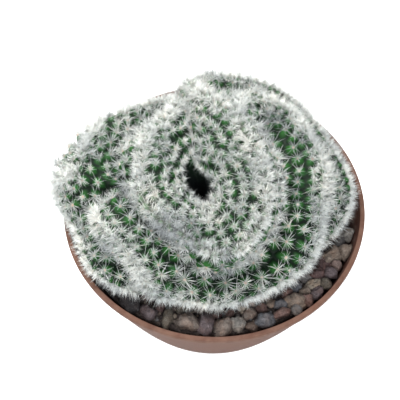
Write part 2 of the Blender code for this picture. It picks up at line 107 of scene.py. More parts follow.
STONE_KINDS = {
    "tan_grey": (0.205, 0.168, 0.146), "purple": (0.130, 0.102, 0.106),
    "olive": (0.150, 0.130, 0.106), "pale": (0.270, 0.250, 0.228),
    "brown": (0.135, 0.098, 0.080), "blue_grey": (0.118, 0.120, 0.132),
    "red": (0.158, 0.100, 0.088), "tan": (0.215, 0.170, 0.138),
    "tan_pale": (0.275, 0.232, 0.186), "red_dark": (0.102, 0.064, 0.062),
    "pink": (0.225, 0.165, 0.148), "grey": (0.150, 0.142, 0.140), "dark": (0.056, 0.051, 0.053),
}
STONE_FILL_RINGS = ((37.0, 46.5), (3.0, 5.2))
STONE_FILL_TRIES = 900
STONE_FILL_APART = 0.86
STONE_GRID = (15, 22)
STONE_CUTS = 11
STONE_CUT_REACH = (0.62, 1.0)
STONE_SOFTNESS = 26.0
STONE_BUMPS = 0.13
STONE_SUNK = 0.36
GRAIN_COUNT = 1400
GRAIN_GRID = (3, 6)
GRAIN_SIZE = (0.8, 1.9)

# Dome that the crest folds over, with the same driving sizes as the part's source.
DOME_CENTRE = (-3.0, 1.0)
EQUATOR_Z = 59.0
DOME_RISE = 26.0
DOME_UNDER = 7.0
OUTLINE_STEP_DEG = 20
OUTLINE_RADII = (
    49.5, 47.5, 48.0, 49.5, 48.5, 47.5, 40.5, 44.5, 50.5,
    52.0, 46.0, 47.5, 44.5, 41.5, 42.5, 42.0, 43.5, 45.5,
)
MAP_EQUATOR = 60.0
MAP_EDGE = 82.0
FOLD_FOOT = 90.0
INNER_Z = 50.0
UNDERSIDE_SHARE = 0.68
UNDERSIDE_Z = 50.4
NECK_TOP_RADIUS = 18.5
NECK_TOP_Z = 48.2
BED_CLEAR_Z = 47.2
ROOT_RADIUS = 13.0
ROOT_TAPER = 2.0
ROOT_BOTTOM = 28.0

# Folds: how deep the valleys lie under the crest, and the pit that the coil leaves open.
FOLD_DEPTH = 10.5
FOLD_POWER = 2.0
PIT_CENTRE = (-2.5, -9.0)
PIT_HALF = (4.0, 7.6)
PIT_TILT_DEG = -20.0
PIT_DEPTH = 15.0
PIT_BARE = 0.27
PIT_CROP = 0.7
COIL_CENTRE = (0.0, -9.0)
COIL_REACH = 23.0
COIL_YOUTH = 0.85
LINE_STEP = 1.0
CRESTS = (
    (
        (-29, -57), (-37, -51), (-44, -45), (-49, -37), (-53, -29), (-57, -21), (-60, -12),
        (-57, -4), (-49, -1), (-41, -3), (-35, 2), (-34, 8), (-35, 15), (-32, 21),
        (-26, 26), (-20, 29), (-15, 27), (-12, 21), (-12, 15), (-14, 8), (-16, 0),
        (-18, -7), (-17, -14), (-14, -20), (-9, -26), (-3, -31), (4, -34), (11, -32),
        (16, -27), (18, -20), (18, -12), (16, -5), (13, 1), (10, 7), (8, 13), (10, 19),
        (15, 22), (21, 23), (27, 21), (31, 15), (33, 8), (35, 0), (37, -8), (40, -17),
        (44, -27), (44, -37), (39, -47), (30, -55), (19, -60), (7, -62), (-5, -61),
        (-15, -60), (-21, -55), (-22, -46), (-23, -37), (-26, -29), (-30, -23), (-36, -18),
    ),
    (
        (4, 15), (0, 20), (-4, 26), (-5, 33), (2, 38), (12, 39), (22, 38), (31, 34),
        (39, 27), (46, 18), (52, 10), (56, 2), (59, -6), (58, -14), (55, -21),
    ),
)
VALLEYS = (
    (
        (-19, 23), (-21, 16), (-25, 8), (-29, 0), (-29, -8), (-25, -14), (-19, -21),
        (-13, -29), (-8, -38), (-3, -45), (6, -47), (15, -43), (22, -36), (26, -28),
        (28, -20), (28, -12), (26, -4), (23, 3), (20, 9), (18, 15), (18, 19),
    ),
    ((-29, -8), (-33, -11), (-38, -13), (-42, -20), (-40, -28), (-34, -35), (-29, -43),
     (-27, -52), (-26, -64), (-26, -76)),
    ((4, 26), (6, 30), (14, 32), (24, 31), (33, 26), (38, 19), (41, 11), (44, 2),
     (47, -7), (49, -17), (52, -30), (56, -44)),
    ((-1, -17), (-2, -12), (-3, -6), (-4, 0), (-5, 8), (-6, 16), (-7, 23), (-10, 31),
     (-15, 40), (-22, 52), (-30, 66)),
)

# Tubercles: close on the crest where they are young, wide apart and tall down the sides.
BODY_GRID = 286
YOUNG_PITCH = 2.6
OLD_PITCH = 4.7
YOUNG_REACH = 10.0
PITCH_SPREAD = 0.14
FILL_PITCH = 1.1
TUBERCLE_HEIGHT = (1.1, 3.4)
TUBERCLE_SHAPE = 1.35
CHUNK = 2000

# Places on the map where the spines are thin and the green shows: middle, reach and share lost.
THIN_PLACES = (
    (15, 19, 4.5, 0.9), (30, 7, 5.5, 0.7), (27, -1, 5.0, 0.7), (33, -11, 6.0, 0.8),
    (29, -20, 5.0, 0.7), (33, -36, 6.0, 0.8), (-31, -4, 5.5, 0.9), (-25, -1, 4.0, 0.6),
    (-14, -17, 5.0, 0.7), (-10, 14, 4.5, 0.7), (-10, -3, 4.5, 0.6), (-3, 43, 5.0, 0.8),
    (3, 30, 4.0, 0.7), (-42, 17, 7.0, 0.7), (6, 3, 4.0, 0.7), (12, -26, 4.0, 0.5),
    (-35, 28, 4.5, 0.5), (-38, -42, 6.0, 0.6), (-34, -47, 5.0, 0.5), (12, 44, 5.0, 0.5),
    (-40, -7, 4.0, 0.5), (-17, -38, 4.0, 0.5), (11, -41, 5.0, 0.4), (55, 6, 6.0, 0.4),
)

# Places on the map where the spines are painted a lilac grey as the shade that falls on them in the
# valleys: middle, reach and share.
SHADED_SPINE_PLACES = (
    (22, 17, 6.0, 0.6), (27, 9, 6.0, 0.55), (20, 6, 5.0, 0.4), (-11, -25, 5.5, 0.6),
    (-28, -6, 6.0, 0.6), (-32, -31, 5.0, 0.5), (32, -12, 5.0, 0.5), (-2, -30, 5.0, 0.35),
    (8, -38, 5.0, 0.4),
)

# Spines: a star on each tubercle, flatter and wider the older it is, and a brush on the crest.
STAR_SPINES = (19, 38)
CENTRAL_SPINES = 4
STAR_LENGTH = (4.0, 5.6)
YOUNG_LENGTH_SHARE = 0.72
STAR_UNEVEN = 0.18
YOUNG_SPLAY_DEG = (10.0, 82.0)
OLD_SPLAY_DEG = (26.0, 84.0)
SPINE_RADIUS = 0.064
SPINE_CURVE = 0.24
SPINE_BEND = 0.1
WOOL_HAIRS = (34, 16)
WOOL_LENGTH = (1.5, 3.4)
HAIR_RADIUS = 0.09
TUFT_PITCH = 1.9
TUFT_HAIRS = 44
TUFT_SPREAD = 0.42
TUFT_TURN = 0.2
TUFT_FAN = 0.22
TUFT_SIDE = 1.2
BRUSH_LENGTH = (2.0, 4.6)
BRUSH_LEAN_DEG = 62.0
LARGEST_PIECE = 18000
LARGEST_WOOL = 45000
FELT_RADIUS = (0.45, 0.66)
FELT_SIDES = 8
RIM_CLEARANCE = 0.8
THIN_LOSS = 0.8
NOTCH_SIZE = 7.0
NOTCH_LOSS = 1.5
NOTCH_START = 0.1
PATCH_SIZE = 16.0
PATCH_TONE = 0.22
SEED = 7


def unit(vectors):
    """Vectors divided by their lengths."""
    return vectors / (np.linalg.norm(vectors, axis=-1, keepdims=True) + 1e-12)


def fill_mesh(mesh, points, faces):
    """Writes points in mm and arrays of faces, one row a face, into a mesh in metres."""
    corners = np.concatenate([f.ravel() for f in faces]).astype(np.int32)
    sizes = np.concatenate([np.full(len(f), f.shape[1]) for f in faces])
    starts = np.concatenate([[0], np.cumsum(sizes)[:-1]]).astype(np.int32)
    mesh.vertices.add(len(points))
    mesh.vertices.foreach_set("co", (np.asarray(points) * MM).astype(np.float32).ravel())
    mesh.loops.add(len(corners))
    mesh.loops.foreach_set("vertex_index", corners)
    mesh.polygons.add(len(sizes))
    mesh.polygons.foreach_set("loop_start", starts)
    mesh.update(calc_edges=True)
    mesh.validate()
    mesh.shade_smooth()


def add_piece(name, points, faces, material, slot, nodes=(), **values):
    """One finished piece of the object. Each further value is an attribute of the points."""
    mesh = bpy.data.meshes.new(name)
    fill_mesh(mesh, points, faces)
    for key, numbers in values.items():
        layer = mesh.attributes.new(key, "FLOAT", "POINT")
        layer.data.foreach_set("value", np.asarray(numbers, np.float32))
    mesh.materials.append(material)
    piece = bpy.data.objects.new(name, mesh)
    bpy.context.scene.collection.objects.link(piece)
    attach(piece, "root")
    if nodes:
        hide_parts(*nodes)
    return piece


def grid_faces(rows, columns, closed):
    """Four-sided faces of a grid of rows times columns points, in order along each row.
    Where closed, the last column is joined to the first."""
    index = np.arange(rows * columns).reshape(rows, columns)
    after = np.roll(index, -1, axis=1)
    if not closed:
        index, after = index[:, :-1], after[:, :-1]
    low, high = index[:-1], index[1:]
    near, far = after[:-1], after[1:]
    return np.stack([low, near, far, high], axis=-1).reshape(-1, 4)


def new_material(name):
    """An empty Principled finish: the material, its tree and its shader."""
    material = bpy.data.materials.new(name)
    material.use_nodes = True
    tree = material.node_tree
    return material, tree, tree.nodes["Principled BSDF"]


def add_node(tree, kind, inputs=None, **settings):
    """One shader node. Inputs are numbers, colours or the sockets that feed them."""
    node = tree.nodes.new("ShaderNode" + kind)
    for key, value in settings.items():
        setattr(node, key, value)
    for key, value in (inputs or {}).items():
        if isinstance(value, bpy.types.NodeSocket):
            tree.links.new(value, node.inputs[key])
        else:
            node.inputs[key].default_value = value
    return node


def object_place(tree):
    """Where a point lies on the piece, in metres."""
    return add_node(tree, "TexCoord").outputs["Object"]


def noise(tree, size, detail=3.0, roughness=0.55):
    """Noise with blobs of about a size in mm."""
    inputs = {"Vector": object_place(tree), "Scale": 1 / (size * MM), "Detail": detail}
    inputs["Roughness"] = roughness
    return add_node(tree, "TexNoise", inputs).outputs["Fac"]


def cells(tree, size, feature="F1"):
    """Distance to the nearest of random points about a size in mm apart."""
    inputs = {"Vector": object_place(tree), "Scale": 1 / (size * MM)}
    return add_node(tree, "TexVoronoi", inputs, feature=feature).outputs["Distance"]


def attribute(tree, name):
    """A piece's own attribute as a number."""
    return add_node(tree, "Attribute", attribute_name=name).outputs["Fac"]


def ramp(tree, factor, *stops):
    """Colour by a number: each stop is a place from 0 to 1 and a colour."""
    node = add_node(tree, "ValToRGB", {"Fac": factor})
    points = node.color_ramp.elements
    while len(points) < len(stops):
        points.new(0.5)
    for point, (place, colour) in zip(points, stops):
        point.position = place
        point.color = (*colour, 1.0)
    return node.outputs["Color"]


def mix(tree, factor, first, second, blend="MIX"):
    """Two colours mixed by a number."""
    node = add_node(tree, "Mix", data_type="RGBA", blend_type=blend)
    for place, value in ((0, factor), (6, first), (7, second)):
        socket = node.inputs[place]
        if isinstance(value, bpy.types.NodeSocket):
            tree.links.new(value, socket)
        else:
            socket.default_value = value if place == 0 else (*value, 1.0)
    return node.outputs[2]


def reckon(tree, operation, first, second=0.0):
    """A sum, product or the like of two numbers."""
    return add_node(tree, "Math", {0: first, 1: second}, operation=operation).outputs[0]


def span(tree, value, low, high, new_low=0.0, new_high=1.0):
    """A number's place between low and high, as a number between the new ones."""
    inputs = {"Value": value, "From Min": low, "From Max": high}
    inputs.update({"To Min": new_low, "To Max": new_high})
    return add_node(tree, "MapRange", inputs).outputs["Result"]


def emboss(tree, shader, height, depth, strength=1.0):
    """Bump of a depth in mm on a shader, from a height between 0 and 1."""
    inputs = {"Height": height, "Distance": depth * MM, "Strength": strength}
    bump = add_node(tree, "Bump", inputs)
    tree.links.new(bump.outputs["Normal"], shader.inputs["Normal"])


def feed(tree, shader, socket, source):
    """Joins a source to one of the shader's sockets."""
    tree.links.new(source, shader.inputs[socket])


def pot_finish():
    """Matt terracotta-brown plastic: cloudy, worn pale along the lip, a slightly redder brown and stained
    with dried water on the inside."""
    material, tree, shader = new_material("pot_plastic_matt")
    cloud = noise(tree, 14.0, 4.0)
    outside = ramp(tree, cloud, (0.3, (0.074, 0.033, 0.021)), (0.7, (0.098, 0.045, 0.029)))
    inside = ramp(tree, cloud, (0.3, (0.075, 0.032, 0.023)), (0.7, (0.110, 0.048, 0.035)))
    colour = mix(tree, attribute(tree, "inside"), outside, inside)
    wear = reckon(tree, "MULTIPLY", attribute(tree, "edge"), span(tree, noise(tree, 3.0), 0.3, 0.6))
    colour = mix(tree, wear, colour, (0.120, 0.062, 0.043))
    specks = span(tree, noise(tree, 0.5, 2.0), 0.62, 0.75, 0.0, 0.35)
    colour = mix(tree, specks, colour, (0.140, 0.060, 0.040))
    stain = reckon(tree, "MULTIPLY", attribute(tree, "stain"), span(tree, noise(tree, 5.0), 0.45, 0.7))
    colour = mix(tree, stain, colour, (0.240, 0.180, 0.150))
    feed(tree, shader, "Base Color", colour)
    feed(tree, shader, "Roughness", span(tree, cloud, 0.2, 0.8, 0.62, 0.78))
    shader.inputs["Specular IOR Level"].default_value = 0.2
    grain = reckon(tree, "ADD", noise(tree, 0.35, 2.0), noise(tree, 2.5))
    emboss(tree, shader, grain, 0.05, 0.5)
    return material


def stone_finish(name, colour):
    """Dull broken stone: mottled round its own colour, with pores darkened by painted shade, and pale
    dust.
    """
    material, tree, shader = new_material("stone_" + name)
    dark = tuple(0.55 * c for c in colour)
    light = tuple(min(1.0, 1.65 * c + 0.03) for c in colour)
    mottle = noise(tree, 1.3, 5.0, 0.7)
    base = ramp(tree, mottle, (0.3, dark), (0.5, colour), (0.72, light))
    specks = span(tree, noise(tree, 0.42, 3.0, 0.7), 0.40, 0.62, 0.0, 1.0)
    base = mix(tree, specks, tuple(0.62 * c for c in colour), base)
    warm = span(tree, noise(tree, 3.2, 2.0), 0.45, 0.7, 0.0, 0.3)
    base = mix(tree, warm, base, tuple(c * k for c, k in zip(colour, (1.35, 0.95, 0.72))))
    # Painted shade: the pores are darkened where they sink into the stone.
    pores = span(tree, cells(tree, 0.75), 0.05, 0.34)
    base = mix(tree, pores, tuple(0.4 * c for c in colour), base)
    feed(tree, shader, "Base Color", base)
    feed(tree, shader, "Roughness", span(tree, mottle, 0.3, 0.7, 0.95, 0.78))
    shader.inputs["Specular IOR Level"].default_value = 0.25
    relief = reckon(tree, "ADD", reckon(tree, "MULTIPLY", pores, 0.7), noise(tree, 0.5, 4.0, 0.7))
    emboss(tree, shader, relief, 0.36, 0.9)
    return material


def grit_finish():
    """Fine dark grit and soil, with paler crumbs."""
    material, tree, shader = new_material("grit_dark")
    crumbs = cells(tree, 1.1)
    colour = ramp(
        tree, noise(tree, 0.9, 4.0, 0.7),
        (0.32, (0.022, 0.018, 0.018)), (0.55, (0.070, 0.055, 0.050)), (0.75, (0.160, 0.125, 0.105)),
    )
    feed(tree, shader, "Base Color", colour)
    shader.inputs["Roughness"].default_value = 0.95
    shader.inputs["Specular IOR Level"].default_value = 0.15
    emboss(tree, shader, reckon(tree, "SUBTRACT", noise(tree, 0.6, 3.0), crumbs), 0.5, 0.9)
    return material


def grain_finish():
    """Small chips of gravel, each its own shade of grey, tan or brown."""
    material, tree, shader = new_material("stone_grains")
    colour = ramp(
        tree, attribute(tree, "shade"),
        (0.0, (0.045, 0.040, 0.042)), (0.3, (0.120, 0.095, 0.088)), (0.55, (0.160, 0.115, 0.085)),
        (0.8, (0.150, 0.150, 0.160)), (1.0, (0.300, 0.240, 0.190)),
    )
    colour = mix(tree, span(tree, noise(tree, 0.5), 0.35, 0.65, 0.4, 0.0), colour, (0.03, 0.026, 0.026))
    feed(tree, shader, "Base Color", colour)
    shader.inputs["Roughness"].default_value = 0.9
    shader.inputs["Specular IOR Level"].default_value = 0.2
    emboss(tree, shader, noise(tree, 0.4), 0.12, 0.7)
    return material


def soil_finish():
    """Dark peat with pale fibres and grains."""
    material, tree, shader = new_material("soil_peat")
    colour = ramp(
        tree, noise(tree, 1.2, 5.0, 0.7),
        (0.35, (0.020, 0.014, 0.011)), (0.6, (0.050, 0.036, 0.026)), (0.8, (0.120, 0.090, 0.065)),
    )
    feed(tree, shader, "Base Color", colour)
    shader.inputs["Roughness"].default_value = 0.97
    emboss(tree, shader, noise(tree, 0.8, 4.0), 0.5, 0.9)
    return material


def flesh_finish():
    """Green skin: bright on the tubercles and darkened by painted shade towards the creases, woolly and
    pale on the crest, with the fine pale dots of the skin; the pit is painted near black as shade."""
    material, tree, shader = new_material("flesh_green")
    drift = noise(tree, 9.0, 3.0)
    # Painted shade: a bright green for the lit tubercles and a near-black green that darkens the skin
    # towards the creases between them.
    bright = ramp(tree, drift, (0.35, (0.009, 0.062, 0.011)), (0.65, (0.022, 0.110, 0.018)))
    deep = ramp(tree, drift, (0.35, (0.001, 0.006, 0.002)), (0.65, (0.002, 0.010, 0.003)))
    crease = attribute(tree, "crease")
    colour = mix(tree, span(tree, crease, 0.25, 0.8), bright, deep)
    dots = span(tree, cells(tree, 0.42), 0.06, 0.16, 0.25, 0.0)
    colour = mix(tree, dots, colour, (0.110, 0.190, 0.110))
    wool = span(tree, attribute(tree, "youth"), 0.88, 1.0, 0.0, 0.7)
    colour = mix(tree, wool, colour, (0.220, 0.250, 0.200))
    # Painted shade: the pit's skin is coloured near black for the deep shade inside it.
    pit = attribute(tree, "pit")
    colour = mix(tree, pit, colour, (0.004, 0.005, 0.006))
    feed(tree, shader, "Base Color", colour)
    feed(tree, shader, "Roughness", span(tree, noise(tree, 2.0), 0.3, 0.7, 0.52, 0.70))
    shader.inputs["Specular IOR Level"].default_value = 0.2
    emboss(tree, shader, noise(tree, 0.5, 3.0), 0.08, 0.5)
    return material


def spine_finish():
    """Chalk-white spines: tan and darker at the root, partly their own colour and partly painted shade
    where the spines crowd, cream along the shaft and clear white at the end.
    """
    material, tree, shader = new_material("spine_white")
    # Along each spine: the tan root is the spine's own colour, darkened further as painted shade among
    # the crowded roots.
    colour = ramp(
        tree, attribute(tree, "along"),
        (0.0, (0.560, 0.520, 0.470)), (0.2, (0.700, 0.700, 0.670)), (0.5, (0.820, 0.832, 0.812)),
        (1.0, (0.930, 0.940, 0.920)),
    )
    # The low, blue-grey end of the tone is painted shade for the spines in the shaded places, and it also
    # colours the spines that are darker at random.
    tone = ramp(
        tree, attribute(tree, "tone"),
        (0.0, (0.420, 0.435, 0.460)), (0.35, (0.760, 0.790, 0.785)), (0.8, (1.0, 1.0, 0.985)),
        (1.0, (1.0, 0.955, 0.900)),
    )
    feed(tree, shader, "Base Color", mix(tree, 1.0, colour, tone, "MULTIPLY"))
    shader.inputs["Roughness"].default_value = 0.5
    shader.inputs["Specular IOR Level"].default_value = 0.4
    return material


def felt_finish():
    """Short wool of the areoles: white when young, then cream and pinkish tan."""
    material, tree, shader = new_material("areole_wool")
    colour = ramp(
        tree, attribute(tree, "age"),
        (0.0, (0.640, 0.640, 0.580)), (0.5, (0.600, 0.460, 0.350)), (1.0, (0.600, 0.340, 0.230)),
    )
    colour = mix(tree, span(tree, noise(tree, 0.25), 0.4, 0.6, 0.0, 0.3), colour, (0.9, 0.86, 0.78))
    feed(tree, shader, "Base Color", colour)
    shader.inputs["Roughness"].default_value = 0.95
    emboss(tree, shader, noise(tree, 0.15, 2.0), 0.1, 0.8)
    return material


def wall_radius(z):
    """Outer radius of the pot's wall at a height, swelling a little like a bowl."""
    share = np.minimum(z / (POT_HEIGHT - LIP_HEIGHT), 1.0) ** WALL_BULGE_POWER
    return FOOT_RADIUS + (RIM_RADIUS - LIP_STEP - FOOT_RADIUS) * share


def inner_radius(z):
    """Inner radius of the pot's wall at a height."""
    return wall_radius(z) - WALL


def rounded(centre, radius, start_deg, end_deg):
    """Profile points on an arc: the centre plus the radius times cosine and sine of each angle."""
    turn = np.radians(np.linspace(start_deg, end_deg, ROUND_STEPS))
    return np.stack([centre[0] + radius * np.cos(turn), centre[1] + radius * np.sin(turn)], axis=1)


def pot_profile():
    """The pot's section from the middle of the foot, up the outside, over the lip and down the
    inside: radius, height and how far each point counts as inside, edge and stained."""
    lip_foot = POT_HEIGHT - LIP_HEIGHT
    rises = np.linspace(FOOT_ROUND, lip_foot, WALL_STEPS)
    outside = np.stack([wall_radius(rises), rises], axis=1)
    inner_rises = np.linspace(lip_foot, FLOOR + FOOT_ROUND, WALL_STEPS)
    inside = np.stack([inner_radius(inner_rises), inner_rises], axis=1)
    inner_lip = inner_radius(lip_foot)
    corner = inner_radius(FLOOR) - FOOT_ROUND
    sole = np.stack([np.linspace(0.01, FOOT_RADIUS - FOOT_ROUND, 8), np.zeros(8)], axis=1)
    floor = np.stack([np.linspace(corner, 0.01, 8), np.full(8, FLOOR)], axis=1)
    rings = [
        sole,
        rounded((FOOT_RADIUS - FOOT_ROUND, FOOT_ROUND), FOOT_ROUND, -80, -15),
        outside,
        rounded((RIM_RADIUS - LIP_ROUND, lip_foot + LIP_ROUND), LIP_ROUND, -80, 0),
        rounded((RIM_RADIUS - LIP_ROUND, POT_HEIGHT - LIP_ROUND), LIP_ROUND, 0, 90),
        rounded((inner_lip + LIP_ROUND, POT_HEIGHT - LIP_ROUND), LIP_ROUND, 90, 180),
        inside,
        floor,
    ]
    is_inside = [0, 0, 0, 0, 0, 0.6, 1, 1]
    is_edge = [0, 0.3, 0, 1, 1, 1, 0, 0]
    counts = [len(ring) for ring in rings]
    profile = np.vstack(rings)
    stain = np.exp(-(((profile[:, 1] - SOIL_TOP - 4.0) / 3.0) ** 2)) * np.repeat(is_inside, counts)
    return profile, np.repeat(is_inside, counts), np.repeat(is_edge, counts), stain


def make_pot():
    """The pot's profile turned about Z: each point's radius times the cosine and sine of the
    turn. The drain holes are cut through its floor."""
    profile, inside, edge, stain = pot_profile()
    turn = np.linspace(0, 2 * math.pi, POT_TURNS, endpoint=False)
    x = profile[:, :1] * np.cos(turn)
    y = profile[:, :1] * np.sin(turn)
    z = np.repeat(profile[:, 1:], POT_TURNS, axis=1)
    points = np.stack([x, y, z], axis=-1).reshape(-1, 3)
    bottom, top = np.arange(POT_TURNS), np.arange(len(points) - POT_TURNS, len(points))
    faces = [grid_faces(len(profile), POT_TURNS, True), bottom[None, ::-1], top[None]]
    spread = {key: np.repeat(values, POT_TURNS) for key, values in
              (("inside", inside), ("edge", edge), ("stain", stain))}
    pot = add_piece("pot_shell", points, faces, pot_finish(), "pot_plastic", ["pot"], **spread)
    drill_drains(pot)
    pot.data.set_sharp_from_angle(angle=math.radians(40))
    return pot


def drill_drains(pot):
    """Cuts a ring of round holes through the pot's floor."""
    turn = np.linspace(0, 2 * math.pi, DRAIN_SIDES, endpoint=False)
    drills, faces = [], []
    for k, way in enumerate(np.arange(DRAIN_COUNT) * 2 * math.pi / DRAIN_COUNT):
        x = DRAIN_CIRCLE * math.cos(way) + DRAIN_RADIUS * np.cos(turn)
        y = DRAIN_CIRCLE * math.sin(way) + DRAIN_RADIUS * np.sin(turn)
        for z in (-FLOOR, 2 * FLOOR):
            drills.append(np.stack([x, y, np.full(DRAIN_SIDES, z)], axis=1))
        first = 2 * k * DRAIN_SIDES
        faces.append(grid_faces(2, DRAIN_SIDES, True) + first)
        faces.append(np.arange(first, first + DRAIN_SIDES)[None, ::-1])
        faces.append(np.arange(first + DRAIN_SIDES, first + 2 * DRAIN_SIDES)[None])
    mesh = bpy.data.meshes.new("drain_drills")
    fill_mesh(mesh, np.vstack(drills), faces)
    drill = bpy.data.objects.new("drain_drills", mesh)
    bpy.context.scene.collection.objects.link(drill)
    cut = pot.modifiers.new("drains", "BOOLEAN")
    cut.operation = "DIFFERENCE"
    cut.object = drill
    view = bpy.context.evaluated_depsgraph_get()
    holed = bpy.data.meshes.new_from_object(pot.evaluated_get(view))
    pot.modifiers.clear()
    pot.data = holed
    bpy.data.objects.remove(drill)


def bed_edge():
    """Outer radius of the bed, just clear of the pot's wall."""
    return inner_radius(SOIL_TOP) - BED_MARGIN


def bed_height(radius, azimuth):
    """Top of the bed: level, but rising to the wall within the heaped arc."""
    first, last = HEAP_ARC_DEG
    inside = np.minimum(azimuth - first, last - azimuth) / HEAP_RAMP_DEG
    outward = (radius - HEAP_INNER) / (bed_edge() - HEAP_INNER)
    rise = HEAP_RISE * np.clip(inside, 0, 1) * np.clip(outward, 0, 1)
    return SOIL_TOP + GAP + BED_THICK + rise


def ripples(points, rng, waves, length):
    """Smooth unevenness from -1 to 1: the mean of sine waves in random directions, about a
    length in mm, with random phases."""
    ways = unit(rng.normal(size=(waves, 3))) * 2 * math.pi / length * rng.uniform(0.6, 1.6, (waves, 1))
    phases = rng.uniform(0, 2 * math.pi, waves)
    return np.sin(points @ ways.T + phases).mean(axis=-1) * math.sqrt(waves) / 1.5


def make_bed():
    """The bed as a closed ring: rows run over its top from the inner edge to the wall, down
    the outer side and back under. The top's height is the bed's height plus ripples."""
    rng = np.random.default_rng(SEED)
    rows, columns = BED_GRID
    azimuth = np.linspace(-180, 180, columns, endpoint=False)
    radius = np.linspace(BED_INNER, bed_edge(), rows)
    r, a = np.meshgrid(radius, azimuth, indexing="ij")
    x, y = r * np.cos(np.radians(a)), r * np.sin(np.radians(a))
    z = bed_height(r, a)
    top = np.stack([x, y, z], axis=-1).reshape(-1, 3)
    top[:, 2] += BED_ROUGHNESS * (ripples(top, rng, 24, 3.2) + 0.6 * ripples(top, rng, 24, 1.4))
    under = top.reshape(rows, columns, 3)[[-1, 0]].reshape(-1, 3).copy()
    under[:, 2] = SOIL_TOP + GAP
    points = np.vstack([top, under])
    faces = grid_faces(rows + 2, columns, True)
    index = np.arange(columns)
    last = (rows + 1) * columns + index
    ring = np.stack([last, np.roll(last, -1), np.roll(index, -1), index], axis=1)
    return add_piece("grit_bed", points, [faces, ring], grit_finish(), "gravel_stone", ["gravel"])


def ball(rows, columns):
    """Points on a unit sphere in rows from pole to pole, and its faces: each ring's radius is
    the sine and its height the cosine of its angle from the pole. The poles are single points."""
    polar = np.linspace(0, math.pi, rows + 2)[1:-1]
    turn = np.linspace(0, 2 * math.pi, columns, endpoint=False)
    p, t = np.meshgrid(polar, turn, indexing="ij")
    rings = np.stack([np.sin(p) * np.cos(t), np.sin(p) * np.sin(t), np.cos(p)], axis=-1)
    points = np.vstack([rings.reshape(-1, 3), [(0, 0, 1), (0, 0, -1)]])
    index = np.arange(columns)
    after = np.roll(index, -1)
    top, bottom = rows * columns, rows * columns + 1
    last = (rows - 1) * columns
    caps = np.vstack([
        np.stack([np.full(columns, top), index, after], axis=1),
        np.stack([last + after, last + index, np.full(columns, bottom)], axis=1),
    ])
    return points, grid_faces(rows, columns, True)[:, ::-1], caps


def broken_stones(rng, count, rows, columns):
    """Stones of about unit size: along each direction the surface lies where a soft minimum
    of random planes is met, which leaves worn faces and edges, plus small ripples."""
    points, quads, caps = ball(rows, columns)
    ways = unit(rng.normal(size=(count, STONE_CUTS, 3)))
    reach = rng.uniform(*STONE_CUT_REACH, (count, STONE_CUTS))
    facing = np.maximum(np.einsum("pk,sck->spc", points, ways), 0) / reach[:, None, :]
    floor = (1 / 1.05) ** STONE_SOFTNESS
    radius = ((facing ** STONE_SOFTNESS).sum(-1) + floor) ** (-1 / STONE_SOFTNESS)
    shifts = rng.uniform(-60, 60, (count, 1, 3))
    uneven = ripples(points * 4 + shifts, rng, 16, 3.6) + 0.5 * ripples(points * 4 + shifts, rng, 16, 1.6)
    radius = radius * (1 + STONE_BUMPS * uneven)
    return points[None] * radius[..., None], quads, caps


def turned_stones(shapes, centres, halves, turns, rng):
    """Stones stretched to half sizes, tipped a little at random, turned about Z, and set at
    their centres."""
    count = len(shapes)
    tip = rng.normal(0, 0.22, (count, 2))
    shapes = shapes * halves[:, None, :]
    x, y, z = np.moveaxis(shapes, -1, 0)
    x, z = x + z * tip[:, :1], z - x * tip[:, :1]
    y, z = y + z * tip[:, 1:], z - y * tip[:, 1:]
    c, s = np.cos(turns)[:, None], np.sin(turns)[:, None]
    placed = np.stack([x * c - y * s, x * s + y * c, z], axis=-1) + centres[:, None, :]
    return held_in_pot(placed)


def held_in_pot(points):
    """Points moved in towards the axis where they would enter the pot's wall."""
    radius = np.hypot(points[..., 0], points[..., 1])
    limit = inner_radius(points[..., 2]) - GAP
    share = np.minimum(1.0, limit / (radius + 1e-9))[..., None]
    return points * np.concatenate([share, share, np.ones_like(share)], axis=-1)


def place_stones():
    """The stones that show, then others that fit between and behind them: centres, half
    sizes, turns and kinds. Each lies a third of its height deep in the bed."""
    rng = np.random.default_rng(SEED + 1)
    seen = np.array([row[:6] for row in STONES_SEEN], float)
    rows = [seen]
    kinds = [row[6] for row in STONES_SEEN]
    names = list(STONE_KINDS)
    (inner, outer), (smallest, largest) = STONE_FILL_RINGS
    held = seen[:, :4].copy()
    for _ in range(STONE_FILL_TRIES):
        azimuth = rng.uniform(-180, 180)
        reach = math.sqrt(rng.uniform(inner**2, outer**2))
        long = rng.uniform(smallest, largest)
        wide, high = long * rng.uniform(0.65, 0.95, 2)
        gap = np.abs((held[:, 0] - azimuth + 180) % 360 - 180) * math.pi / 180
        apart = np.sqrt(held[:, 1] ** 2 + reach**2 - 2 * held[:, 1] * reach * np.cos(gap))
        need = STONE_FILL_APART * ((held[:, 2] + held[:, 3]) / 4 + (long + wide) / 4)
        if (apart > need).all():
            held = np.vstack([held, (azimuth, reach, long, wide)])
            rows.append(np.array([[azimuth, reach, long, wide, high, rng.uniform(0, 180)]]))
            kinds.append(names[rng.integers(len(names))])
    table = np.vstack(rows)
    azimuth, reach, long, wide, high, turn = table.T
    way = np.radians(azimuth)
    level = bed_height(reach, azimuth) + high * (0.5 - STONE_SUNK)
    centres = np.stack([reach * np.cos(way), reach * np.sin(way), level], axis=1)
    return centres, np.stack([long, wide, high], axis=1) / 2, way + np.radians(turn), kinds


def make_stones():
    """The stones in one piece for each kind, with one broken shape for each stone."""
    rng = np.random.default_rng(SEED + 2)
    centres, halves, turns, kinds = place_stones()
    shapes, quads, caps = broken_stones(rng, len(centres), *STONE_GRID)
    placed = turned_stones(shapes, centres, halves * 1.2, turns, rng)
    for name, colour in STONE_KINDS.items():
        own = np.array([kind == name for kind in kinds])
        steps = np.arange(own.sum())[:, None, None] * shapes.shape[1]
        faces = [(quads[None] + steps).reshape(-1, 4), (caps[None] + steps).reshape(-1, 3)]
        add_piece("stones_" + name, placed[own].reshape(-1, 3), faces,
                  stone_finish(name, colour), "gravel_stone", ["gravel"])


